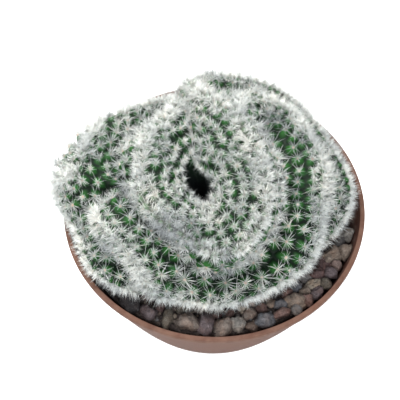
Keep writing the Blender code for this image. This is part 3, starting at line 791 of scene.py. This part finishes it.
def make_grains():
    """Small chips strewn over the bed, a few dozen faces each, each with its own shade."""
    rng = np.random.default_rng(SEED + 3)
    azimuth = rng.uniform(-180, 180, GRAIN_COUNT)
    reach = np.sqrt(rng.uniform(33.0**2, (bed_edge() - 0.6) ** 2, GRAIN_COUNT))
    size = rng.uniform(*GRAIN_SIZE, GRAIN_COUNT) / 2
    way = np.radians(azimuth)
    level = bed_height(reach, azimuth) + size * 0.3
    centres = np.stack([reach * np.cos(way), reach * np.sin(way), level], axis=1)
    halves = size[:, None] * rng.uniform(0.7, 1.2, (GRAIN_COUNT, 3))
    shapes, quads, caps = broken_stones(rng, GRAIN_COUNT, *GRAIN_GRID)
    placed = turned_stones(shapes, centres, halves, rng.uniform(0, 7, GRAIN_COUNT), rng)
    each = shapes.shape[1]
    steps = np.arange(GRAIN_COUNT)[:, None, None] * each
    faces = [(quads[None] + steps).reshape(-1, 4), (caps[None] + steps).reshape(-1, 3)]
    shade = np.repeat(rng.uniform(0, 1, GRAIN_COUNT), each)
    add_piece("gravel_grains", placed.reshape(-1, 3), faces, grain_finish(), "gravel_stone",
              ["gravel"], shade=shade)


def smooth_line(points, step):
    """Points about a step apart on a Catmull-Rom curve through the given ones."""
    p = np.array(points, float)
    p = np.vstack([2 * p[0] - p[1], p, 2 * p[-1] - p[-2]])
    found = []
    for a, b, c, d in zip(p, p[1:], p[2:], p[3:]):
        count = max(2, int(np.linalg.norm(c - b) / step))
        t = np.linspace(0, 1, count, endpoint=False)[:, None]
        found.append(
            0.5 * (2 * b + (c - a) * t + (2 * a - 5 * b + 4 * c - d) * t**2
                   + (3 * b - a - 3 * c + d) * t**3)
        )
    return np.vstack(found + [p[-2:-1]])


def nearest(points, cloud):
    """Distance from each point to the nearest of a cloud's points, a chunk at a time."""
    found = []
    for start in range(0, len(points), CHUNK):
        part = points[start:start + CHUNK]
        square = (part**2).sum(1)[:, None] + (cloud**2).sum(1)[None] - 2 * part @ cloud.T
        found.append(np.sqrt(np.maximum(square.min(1), 0)))
    return np.concatenate(found)


CREST_LINES = [smooth_line(line, LINE_STEP) for line in CRESTS]
CREST_CLOUD = np.vstack(CREST_LINES)
VALLEY_CLOUD = np.vstack([smooth_line(line, LINE_STEP) for line in VALLEYS])


def outline_radius(azimuth):
    """Plan radius of the clump by azimuth, eased between the measured radii."""
    values = np.array(OUTLINE_RADII)
    place = np.degrees(azimuth) % 360 / OUTLINE_STEP_DEG
    low = np.floor(place).astype(int)
    t = place - low
    a, b, c, d = (values[(low + k) % len(values)] for k in (-1, 0, 1, 2))
    return 0.5 * (2 * b + (c - a) * t + (2 * a - 5 * b + 4 * c - d) * t**2
                  + (3 * b - a - 3 * c + d) * t**3)


def pit_share(points):
    """How far into the pit each map point lies: 1 at its centre, falling off outside an oval."""
    tilt = math.radians(PIT_TILT_DEG)
    x, y = (points - PIT_CENTRE).T
    across = x * math.cos(tilt) - y * math.sin(tilt)
    along = x * math.sin(tilt) + y * math.cos(tilt)
    reach = (across / PIT_HALF[0]) ** 2 + (along / PIT_HALF[1]) ** 2
    return 1 / (1 + reach**2)


def fold_depth(points):
    """How far the surface lies under the dome: a rounded crest, a sharp valley and the pit."""
    crest = nearest(points, CREST_CLOUD)
    foot = FOLD_FOOT - np.linalg.norm(points, axis=1)
    valley = np.minimum(nearest(points, VALLEY_CLOUD), np.maximum(foot, 0.0))
    share = crest / (crest + valley + 1e-9)
    return FOLD_DEPTH * share**FOLD_POWER + PIT_DEPTH * pit_share(points)


def on_plant(points):
    """Map points placed on the folded surface: on the dome by distance and azimuth, then sunk
    by the fold's depth on the line from the plant's inside."""
    distance = np.linalg.norm(points, axis=1)
    azimuth = np.arctan2(points[:, 1], points[:, 0])
    polar = distance / MAP_EQUATOR * math.pi / 2
    radius = outline_radius(azimuth) * np.sin(polar)
    rise = np.where(np.cos(polar) > 0, DOME_RISE, DOME_UNDER)
    dome = np.stack(
        [DOME_CENTRE[0] + radius * np.cos(azimuth), DOME_CENTRE[1] + radius * np.sin(azimuth),
         EQUATOR_Z + rise * np.cos(polar)], axis=1,
    )
    out = unit(dome - (*DOME_CENTRE, INNER_Z))
    return dome - out * fold_depth(points)[:, None]


def facing(points, step=0.4):
    """Outward normal at map points: the cross product of two small steps on the surface."""
    right = on_plant(points + (step, 0)) - on_plant(points - (step, 0))
    ahead = on_plant(points + (0, step)) - on_plant(points - (0, step))
    return unit(np.cross(right, ahead))


def youth_at(points):
    """1 on a crest line, falling to 0 down the sides, but young throughout the middle coil."""
    crest = 1 - np.clip(nearest(points, CREST_CLOUD) / YOUNG_REACH, 0, 1)
    coil = np.exp(-(np.linalg.norm(points - COIL_CENTRE, axis=1) / COIL_REACH) ** 6)
    return np.maximum(crest, COIL_YOUTH * coil)


def thinness(points):
    """How much of the spines is lost at map points: each thin place's share times a bell curve
    of the distance from its middle over its reach, and the greatest of these."""
    x, y, reach, share = np.array(THIN_PLACES, float).T
    square = (points[:, :1] - x) ** 2 + (points[:, 1:] - y) ** 2
    return (share * np.exp(-(square / reach**2) ** 2)).max(1)


def rows_beside(line):
    """Staggered rows of map points on both sides of a crest line, wider apart further off."""
    ahead = unit(np.gradient(line, axis=0))
    across = np.stack([-ahead[:, 1], ahead[:, 0]], axis=1)
    found = []
    offset, row = YOUNG_PITCH / 3, 0
    while offset < 1.2 * YOUNG_REACH:
        pitch = YOUNG_PITCH + (OLD_PITCH - YOUNG_PITCH) * min(offset / YOUNG_REACH, 1.0)
        every = max(1, round(pitch / LINE_STEP))
        start = (row % 2) * every // 2
        for side in (-1, 1):
            found.append(line[start::every] + side * offset * across[start::every])
        offset += pitch * math.sqrt(0.75)
        row += 1
    return np.vstack(found)


def tubercle_points(rng):
    """Map points of the tubercles: rows along the crests first, then whatever still fits at
    the spacing of its place, measured on the surface."""
    grid = np.arange(-MAP_EDGE, MAP_EDGE, FILL_PITCH)
    u, v = np.meshgrid(grid, grid)
    fill = np.stack([u.ravel(), v.ravel()], axis=1) + rng.uniform(-0.4, 0.4, (u.size, 2))
    rng.shuffle(fill)
    wanted = np.vstack([rows_beside(line) for line in CREST_LINES] + [fill])
    wanted = wanted[np.linalg.norm(wanted, axis=1) < MAP_EDGE - 2.0]
    place = on_plant(wanted)
    pitch = OLD_PITCH + (YOUNG_PITCH - OLD_PITCH) * youth_at(wanted)
    pitch = pitch * rng.uniform(1 - PITCH_SPREAD, 1 + PITCH_SPREAD, len(pitch)) * 0.86
    held = np.empty((len(wanted), 3))
    kept = []
    for i in range(len(wanted)):
        gaps = held[:len(kept)] - place[i]
        if not kept or (gaps**2).sum(1).min() > pitch[i] ** 2:
            held[len(kept)] = place[i]
            kept.append(i)
    found = wanted[kept]
    return found[pit_share(found) < PIT_BARE]


def disc_grid(count):
    """Map points on a square grid bent to a disc: squares round the middle become rings."""
    side = np.linspace(-1, 1, count)
    a, b = np.meshgrid(side, side)
    wide = np.abs(a) > np.abs(b)
    radius = np.where(wide, a, b)
    small = np.where(wide, b, a)
    turn = math.pi / 4 * small / np.where(radius == 0, 1, radius)
    x = np.where(wide, radius * np.cos(turn), radius * np.sin(turn))
    y = np.where(wide, radius * np.sin(turn), radius * np.cos(turn))
    return MAP_EDGE * np.stack([x.ravel(), y.ravel()], axis=1)


def tubercle_relief(points, centres):
    """For points on the surface and tubercle centres: the ratio of the distances to the
    nearest and the second nearest centre, 0 at a centre and 1 in a crease."""
    found = []
    for start in range(0, len(points), CHUNK):
        part = points[start:start + CHUNK]
        square = (part**2).sum(1)[:, None] + (centres**2).sum(1)[None] - 2 * part @ centres.T
        two = np.sqrt(np.maximum(np.partition(square, 1, axis=1)[:, :2], 0))
        found.append(two[:, 0] / (two[:, 1] + 1e-9))
    return np.concatenate(found)


def edge_loop(count):
    """Indices of a square grid's border in order, anticlockwise."""
    index = np.arange(count * count).reshape(count, count)
    return np.concatenate([index[0, :-1], index[:-1, -1], index[-1, :0:-1], index[:0:-1, 0]])


def underside(border):
    """Rings that close the body below: from its border in to the belly, the neck and down the
    root. Each ring keeps the border's azimuths and has its own radius and height."""
    azimuth = np.arctan2(border[:, 1], border[:, 0])
    belly = UNDERSIDE_SHARE * outline_radius(azimuth)
    rings = []
    for share in (0.4, 0.75):
        reach = np.hypot(border[:, 0], border[:, 1])
        rings.append((reach + (belly - reach) * share,
                      border[:, 2] + (UNDERSIDE_Z - border[:, 2]) * share))
    flat = np.ones(len(border))
    rings += [(belly, UNDERSIDE_Z * flat), (NECK_TOP_RADIUS * flat, NECK_TOP_Z * flat)]
    rings += [(ROOT_RADIUS * flat, BED_CLEAR_Z * flat)]
    rings += [((ROOT_RADIUS - ROOT_TAPER) * flat, ROOT_BOTTOM * flat)]
    return [np.stack([r * np.cos(azimuth), r * np.sin(azimuth), z], axis=1) for r, z in rings]


def make_body(tips):
    """The folded stem: the map's surface, raised along its normal by a height for the
    tubercle that falls from its centre to its crease by a power of the distances' ratio."""
    points = disc_grid(BODY_GRID)
    base = on_plant(points)
    rows = base.reshape(BODY_GRID, BODY_GRID, 3)
    normal = unit(np.cross(np.gradient(rows, axis=1), np.gradient(rows, axis=0))).reshape(-1, 3)
    normal *= np.sign((normal * (base - (*DOME_CENTRE, INNER_Z - 20))).sum(1))[:, None]
    ratio = tubercle_relief(base, on_plant(tips))
    youth = youth_at(points)
    height = TUBERCLE_HEIGHT[1] + (TUBERCLE_HEIGHT[0] - TUBERCLE_HEIGHT[1]) * youth
    calm = np.clip((MAP_EDGE - np.linalg.norm(points, axis=1)) / 4, 0, 1)
    rise = height * ((1 - ratio**TUBERCLE_SHAPE) - 0.45) * calm
    surface = base + normal * rise[:, None]
    loop = edge_loop(BODY_GRID)
    rings = underside(surface[loop])
    faces = [grid_faces(BODY_GRID, BODY_GRID, False)]
    above, first = loop, len(surface)
    for ring in rings:
        here = first + np.arange(len(ring))
        faces.append(np.stack([above, here, np.roll(here, -1), np.roll(above, -1)], axis=1))
        above, first = here, first + len(ring)
    faces.append(above[None, ::-1])
    below = sum(len(ring) for ring in rings)
    values = {
        # The crease measure darkens the skin towards the creases as painted shade.
        "crease": np.concatenate([ratio, np.ones(below)]),
        "youth": np.concatenate([youth, np.zeros(below)]),
        # The pit measure paints the skin near black there as painted shade.
        "pit": np.concatenate([np.clip(pit_share(points) * 2.2 - 0.4, 0, 1), np.zeros(below)]),
    }
    return add_piece("crest_body", np.vstack([surface] + rings), faces, flesh_finish(),
                     "cactus_flesh", ["crested_cactus"], **values)


def spine_points(roots, ways, lengths, radii, bends):
    """Seven points a spine: three-sided rings at the root and the middle, and a tip. The middle
    line is the root plus the way times the length, plus the bend times the square of the share."""
    side = unit(np.cross(ways, np.where(np.abs(ways[:, 2:]) < 0.9, (0, 0, 1), (1, 0, 0))))
    other = np.cross(ways, side)
    turn = np.arange(3) * 2 * math.pi / 3
    ring = (side[:, None, :] * np.cos(turn)[:, None] + other[:, None, :] * np.sin(turn)[:, None])
    ring = ring * radii[:, None, None]
    middle = roots + ways * lengths[:, None] * 0.55 + bends * 0.3
    tip = roots + ways * lengths[:, None] + bends
    return np.concatenate(
        [roots[:, None] + ring, middle[:, None] + ring * 0.75, tip[:, None]], axis=1)


def spine_faces(count):
    """Faces of the spines: sides of three quads, a pointed end of three triangles and the root."""
    i = np.arange(3)
    j = np.roll(i, -1)
    quads = np.stack([i, j, j + 3, i + 3], axis=1)
    ends = np.vstack([np.stack([i + 3, j + 3, np.full(3, 6)], axis=1), [(2, 1, 0)]])
    steps = np.arange(count)[:, None, None] * 7
    return [(quads[None] + steps).reshape(-1, 4), (ends[None] + steps).reshape(-1, 3)]


def clear_of_pot(roots, tips):
    """True for spines whose ends pass clear of the pot's wall and lip."""
    radius = np.hypot(tips[:, 0], tips[:, 1])
    low = tips[:, 2] < POT_HEIGHT + RIM_CLEARANCE
    return ~(low & (radius > inner_radius(tips[:, 2]) - RIM_CLEARANCE))


def spine_pieces(prefix, roots, ways, lengths, radii, tone, rng):
    """Spines in pieces of a limited size, each spine bent a little upwards at its end."""
    lift = rng.uniform(-0.2, 1.0, len(roots))[:, None] * SPINE_CURVE
    bends = (np.array([0, 0, 1.0]) * lift + rng.normal(0, SPINE_BEND, roots.shape)) * lengths[:, None]
    clear = clear_of_pot(roots, roots + ways * lengths[:, None] + bends)
    numbers = [roots, ways, lengths, radii, bends, tone]
    roots, ways, lengths, radii, bends, tone = [n[clear] for n in numbers]
    parts = math.ceil(len(roots) / LARGEST_PIECE)
    along = np.array([0, 0, 0, 0.5, 0.5, 0.5, 1.0])
    for k, chosen in enumerate(np.array_split(np.arange(len(roots)), parts)):
        points = spine_points(roots[chosen], ways[chosen], lengths[chosen], radii[chosen],
                              bends[chosen])
        add_piece(f"{prefix}_{k + 1}", points.reshape(-1, 3), spine_faces(len(chosen)),
                  finish_named("spine_white", spine_finish), "cactus_spines", ["crested_cactus"],
                  along=np.tile(along, len(chosen)),
                  tone=np.repeat(patchy(roots, tone)[chosen], len(along)))


def patchy(points, tone):
    """A tone shifted by smooth ripples and, as painted shade, lowered by a bell curve of the distance
    from each shaded place, the same for every kind of spine at one place."""
    rng = np.random.default_rng(SEED + 8)
    x, y, reach, share = np.array(SHADED_SPINE_PLACES, float).T
    square = ((points[:, None] - on_plant(np.stack([x, y], axis=1))) ** 2).sum(2)
    # Painted shade: the spines turn lilac grey round each shaded place.
    grey = (share * np.exp(-(square / reach**2) ** 2)).max(1)
    return np.clip(tone - grey + PATCH_TONE * ripples(points, rng, 14, PATCH_SIZE), 0, 1)


def hair_pieces(prefix, roots, ways, lengths, tone, rng):
    """Straight hairs in pieces of a limited size: a three-sided ring at the root, whose spokes
    are square to the way, and a tip at the way times the length."""
    clear = clear_of_pot(roots, roots + ways * lengths[:, None])
    roots, ways, lengths, tone = [n[clear] for n in (roots, ways, lengths, tone)]
    side = unit(np.cross(ways, np.where(np.abs(ways[:, 2:]) < 0.9, (0, 0, 1), (1, 0, 0))))
    other = np.cross(ways, side)
    turn = np.arange(3) * 2 * math.pi / 3
    ring = side[:, None] * np.cos(turn)[:, None] + other[:, None] * np.sin(turn)[:, None]
    radii = HAIR_RADIUS * rng.uniform(0.7, 1.2, len(roots))
    tips = roots + ways * lengths[:, None]
    points = np.concatenate([roots[:, None] + ring * radii[:, None, None], tips[:, None]], axis=1)
    sides = np.array([(0, 1, 3), (1, 2, 3), (2, 0, 3), (2, 1, 0)])
    along = np.array([0, 0, 0, 1.0])
    parts = math.ceil(len(roots) / LARGEST_WOOL)
    for k, chosen in enumerate(np.array_split(np.arange(len(roots)), parts)):
        faces = (sides[None] + np.arange(len(chosen))[:, None, None] * 4).reshape(-1, 3)
        add_piece(f"{prefix}_{k + 1}", points[chosen].reshape(-1, 3), [faces],
                  finish_named("spine_white", spine_finish), "cactus_spines", ["crested_cactus"],
                  along=np.tile(along, len(chosen)),
                  tone=np.repeat(patchy(roots, tone)[chosen], len(along)))


def finish_named(name, make):
    """The finish of that name, made once."""
    return bpy.data.materials.get(name) or make()


def make_stars(tips):
    """A star of spines on each tubercle: directions spread round its axis by a golden turn,
    leaning out by the splay of its age, with a few shorter central spines."""
    rng = np.random.default_rng(SEED + 4)
    base, axis, youth = on_plant(tips), facing(tips), youth_at(tips)
    height = TUBERCLE_HEIGHT[1] + (TUBERCLE_HEIGHT[0] - TUBERCLE_HEIGHT[1]) * youth
    root = base + axis * (height * 0.5)[:, None]
    counts = STAR_SPINES[1] + (STAR_SPINES[0] - STAR_SPINES[1]) * youth
    counts = np.round(counts * (1 - THIN_LOSS * thinness(tips))).astype(int)
    star = np.repeat(np.arange(len(tips)), counts)
    order = np.arange(len(star)) - np.repeat(np.cumsum(counts) - counts, counts)
    central = order < CENTRAL_SPINES
    turn = order * 2.39996 + np.repeat(rng.uniform(0, 6.3, len(tips)), counts)
    y = youth[star]
    low = YOUNG_SPLAY_DEG[0] * y + OLD_SPLAY_DEG[0] * (1 - y)
    high = YOUNG_SPLAY_DEG[1] * y + OLD_SPLAY_DEG[1] * (1 - y)
    splay = np.radians(low + (high - low) * rng.uniform(0, 1, len(star)))
    splay = np.where(central, splay * 0.35, splay)
    a = axis[star]
    side = unit(np.cross(a, (0.3, 0.2, 1.0)))
    other = np.cross(a, side)
    out = side * np.cos(turn)[:, None] + other * np.sin(turn)[:, None]
    ways = unit(a * np.cos(splay)[:, None] + out * np.sin(splay)[:, None])
    ways = unit(ways + rng.normal(0, STAR_UNEVEN, ways.shape))
    size = rng.uniform(*STAR_LENGTH, len(tips))[star] * rng.uniform(0.6, 1.12, len(star))
    size = size * np.where(central, 0.7, 1.0) * (1 + (YOUNG_LENGTH_SHARE - 1) * y)
    size = size * (1 - PIT_CROP * np.clip(3 * pit_share(tips)[star], 0, 1))
    thick = SPINE_RADIUS * rng.uniform(0.8, 1.2, len(star))
    tone = np.clip(rng.normal(0.45, 0.2, len(star)) + rng.normal(0, 0.15, len(tips))[star], 0, 1)
    spine_pieces("spines_side", root[star], ways, size, thick, tone, rng)
    return root, axis, youth


def make_wool(roots, axes, youth):
    """The fine hairs round each areole: directions spread evenly over a half ball by a golden
    turn, with the cosine of the splay running from 1 to 0."""
    rng = np.random.default_rng(SEED + 7)
    counts = np.round(WOOL_HAIRS[1] + (WOOL_HAIRS[0] - WOOL_HAIRS[1]) * youth).astype(int)
    star = np.repeat(np.arange(len(roots)), counts)
    order = np.arange(len(star)) - np.repeat(np.cumsum(counts) - counts, counts)
    turn = order * 2.39996 + rng.uniform(0, 6.3, len(roots))[star]
    rise = 1 - (order + rng.uniform(0, 1, len(star))) / counts[star]
    flat = np.sqrt(1 - rise**2)[:, None]
    side = unit(np.cross(axes, (0.3, 0.2, 1.0)))[star]
    other = np.cross(axes[star], side)
    out = side * np.cos(turn)[:, None] + other * np.sin(turn)[:, None]
    ways = unit(axes[star] * rise[:, None] + out * flat)
    lengths = rng.uniform(*WOOL_LENGTH, len(star)) * (0.55 + 0.45 * youth[star])
    tone = np.clip(rng.normal(0.5, 0.2, len(star)) + rng.normal(0, 0.15, len(roots))[star], 0, 1)
    hair_pieces("areole_hairs", roots[star] - axes[star] * 0.1, ways, lengths, tone, rng)


def make_brush():
    """The dense brush on the crest: tufts of hairs set along each crest line and a little to
    its left or right, each tuft leaning out by its side and its hairs fanned round it."""
    rng = np.random.default_rng(SEED + 5)
    points, sides, turns = [], [], []
    for line in CREST_LINES:
        count = int(len(line) * LINE_STEP / TUFT_PITCH)
        place = np.linspace(0, len(line) - 1.001, count) + rng.uniform(-0.4, 0.4, count)
        place = np.repeat(np.clip(place, 0, len(line) - 1.001), 2 * TUFT_HAIRS)
        lean = np.tile(np.repeat((-1, 1), TUFT_HAIRS), count) * np.repeat(
            rng.uniform(0.2, 1.0, 2 * count), TUFT_HAIRS)
        low = place.astype(int)
        on_line = line[low] + (line[low + 1] - line[low]) * (place - low)[:, None]
        ahead = unit(np.gradient(line, axis=0))[low]
        across = np.stack([-ahead[:, 1], ahead[:, 0]], axis=1) * lean[:, None]
        points.append(on_line + across * TUFT_SIDE + rng.normal(0, TUFT_SPREAD, on_line.shape))
        sides.append(across)
        turns.append(np.repeat(rng.normal(0, TUFT_TURN, (2 * count, 3)), TUFT_HAIRS, axis=0))
    points, sides, turns = np.vstack(points), np.vstack(sides), np.vstack(turns)
    kept = (np.linalg.norm(points, axis=1) < MAP_EDGE - 2) & (pit_share(points) < PIT_BARE)
    kept &= rng.uniform(0, 1, len(points)) > THIN_LOSS * thinness(points)
    points, sides, turns = points[kept], sides[kept], turns[kept]
    base = on_plant(points)
    notch = NOTCH_LOSS * np.clip(ripples(base, rng, 14, NOTCH_SIZE) - NOTCH_START, 0, 0.55)
    kept = rng.uniform(0, 1, len(points)) > notch
    points, sides, turns, base = points[kept], sides[kept], turns[kept], base[kept]
    axis = facing(points)
    step = on_plant(points + unit(sides) * 0.5) - base
    out = unit(step - axis * (step * axis).sum(1)[:, None])
    lean = np.radians(BRUSH_LEAN_DEG) * np.linalg.norm(sides, axis=1) + rng.normal(0, 0.3, len(points))
    ways = axis * np.cos(lean)[:, None] + out * np.sin(lean)[:, None]
    ways = unit(ways + turns + rng.normal(0, TUFT_FAN, ways.shape))
    lengths = rng.uniform(*BRUSH_LENGTH, len(points))
    tone = np.clip(rng.normal(0.58, 0.32, len(points)), 0, 1)
    hair_pieces("crest_hairs", base - axis * 0.2, ways, lengths, tone, rng)


def make_felt(roots, axes, youth):
    """The wool cushion of each areole: a low dome of two rings and a top on its tubercle."""
    rng = np.random.default_rng(SEED + 6)
    count = len(roots)
    side = unit(np.cross(axes, (0.3, 0.2, 1.0)))
    other = np.cross(axes, side)
    turn = np.arange(FELT_SIDES) * 2 * math.pi / FELT_SIDES
    spokes = side[:, None] * np.cos(turn)[:, None] + other[:, None] * np.sin(turn)[:, None]
    size = rng.uniform(*FELT_RADIUS, count)[:, None, None] * (1 - 0.35 * youth)[:, None, None]
    centre, up = roots[:, None], axes[:, None]
    low = centre + spokes * size - up * 0.35
    high = centre + spokes * size * 0.75 + up * 0.2 * size / FELT_RADIUS[0]
    top = centre + up * 0.42 * size / FELT_RADIUS[0]
    points = np.concatenate([low, high, top], axis=1)
    i = np.arange(FELT_SIDES)
    j = np.roll(i, -1)
    quads = np.stack([i, j, j + FELT_SIDES, i + FELT_SIDES], axis=1)
    tops = np.stack([i + FELT_SIDES, j + FELT_SIDES, np.full(FELT_SIDES, 2 * FELT_SIDES)], axis=1)
    steps = np.arange(count)[:, None, None] * points.shape[1]
    under = (i[::-1] + np.arange(count)[:, None] * points.shape[1])
    faces = [(quads[None] + steps).reshape(-1, 4), (tops[None] + steps).reshape(-1, 3), under]
    age = np.clip((1 - youth) * 0.7 + rng.normal(0, 0.2, count), 0, 1)
    add_piece("areole_wool", points.reshape(-1, 3), faces, felt_finish(), "cactus_spines",
              ["crested_cactus"], age=np.repeat(age, points.shape[1]))


def make_stage():
    """A pale floor that curves up into a backdrop: flat, then a quarter circle, then a wall."""
    reach, rise, bend = 900.0, 700.0, 300.0
    turn = np.linspace(0, math.pi / 2, 12)
    section = np.vstack([
        [(-reach, 0.0)],
        np.stack([reach - bend + bend * np.sin(turn), bend - bend * np.cos(turn)], axis=1),
        [(reach, rise)],
    ])
    across = np.array([-2 * reach, 2 * reach])
    x = np.repeat(across[None], len(section), axis=0)
    y = np.repeat(section[:, :1], 2, axis=1)
    z = np.repeat(section[:, 1:], 2, axis=1) - 0.05
    mesh = bpy.data.meshes.new("floor")
    fill_mesh(mesh, np.stack([x, y, z], axis=-1).reshape(-1, 3), [grid_faces(len(section), 2, False)])
    material, tree, shader = new_material("floor_pale")
    shader.inputs["Base Color"].default_value = (0.86, 0.86, 0.855, 1.0)
    shader.inputs["Roughness"].default_value = 0.9
    shader.inputs["Emission Color"].default_value = (1.0, 1.0, 1.0, 1.0)
    shader.inputs["Emission Strength"].default_value = FLOOR_GLOW
    mesh.materials.append(material)
    floor = bpy.data.objects.new("floor", mesh)
    bpy.context.scene.collection.objects.link(floor)


def aimed(obj, place, target):
    """Puts a light or a camera at a place in mm and turns it to a target."""
    obj.location = Vector(place) * MM
    obj.rotation_euler = (Vector(target) - Vector(place)).to_track_quat("-Z", "Y").to_euler()
    bpy.context.scene.collection.objects.link(obj)
    return obj


def add_light(name, place, target, size, power, colour):
    """One soft square light."""
    data = bpy.data.lights.new(name, "AREA")
    data.size = size * MM
    data.energy = power
    data.color = colour
    return aimed(bpy.data.objects.new(name, data), place, target)


def make_light_and_camera():
    """Soft light from above and behind, a weak fill from the front, and the camera."""
    scene = bpy.context.scene
    world = bpy.data.worlds.new("studio")
    world.use_nodes = True
    sky = world.node_tree.nodes["Background"]
    sky.inputs["Color"].default_value = (0.93, 0.96, 1.0, 1.0)
    sky.inputs["Strength"].default_value = 0.66
    scene.world = world
    middle = (0.0, 0.0, 60.0)
    add_light("key", (-210.0, 230.0, 580.0), middle, 330.0, 6.2, (1.0, 0.985, 0.96))
    add_light("fill", (60.0, -440.0, 400.0), middle, 420.0, 3.2, (0.95, 0.98, 1.0))
    data = bpy.data.cameras.new("camera")
    data.lens = CAMERA_LENS
    data.sensor_width = CAMERA_SENSOR
    data.clip_start = 0.01
    scene.camera = aimed(bpy.data.objects.new("camera", data), CAMERA_PLACE, CAMERA_TARGET)
    scene.view_settings.view_transform = "Standard"


def finish_soil():
    """The soil keeps its own solid and gets its finish."""
    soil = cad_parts["soil"]
    soil.data.materials.clear()
    soil.data.materials.append(soil_finish())


def main():
    make_pot()
    finish_soil()
    make_bed()
    make_stones()
    make_grains()
    tips = tubercle_points(np.random.default_rng(SEED))
    make_body(tips)
    stars = make_stars(tips)
    make_felt(*stars)
    make_wool(*stars)
    make_brush()
    make_stage()
    make_light_and_camera()


main()
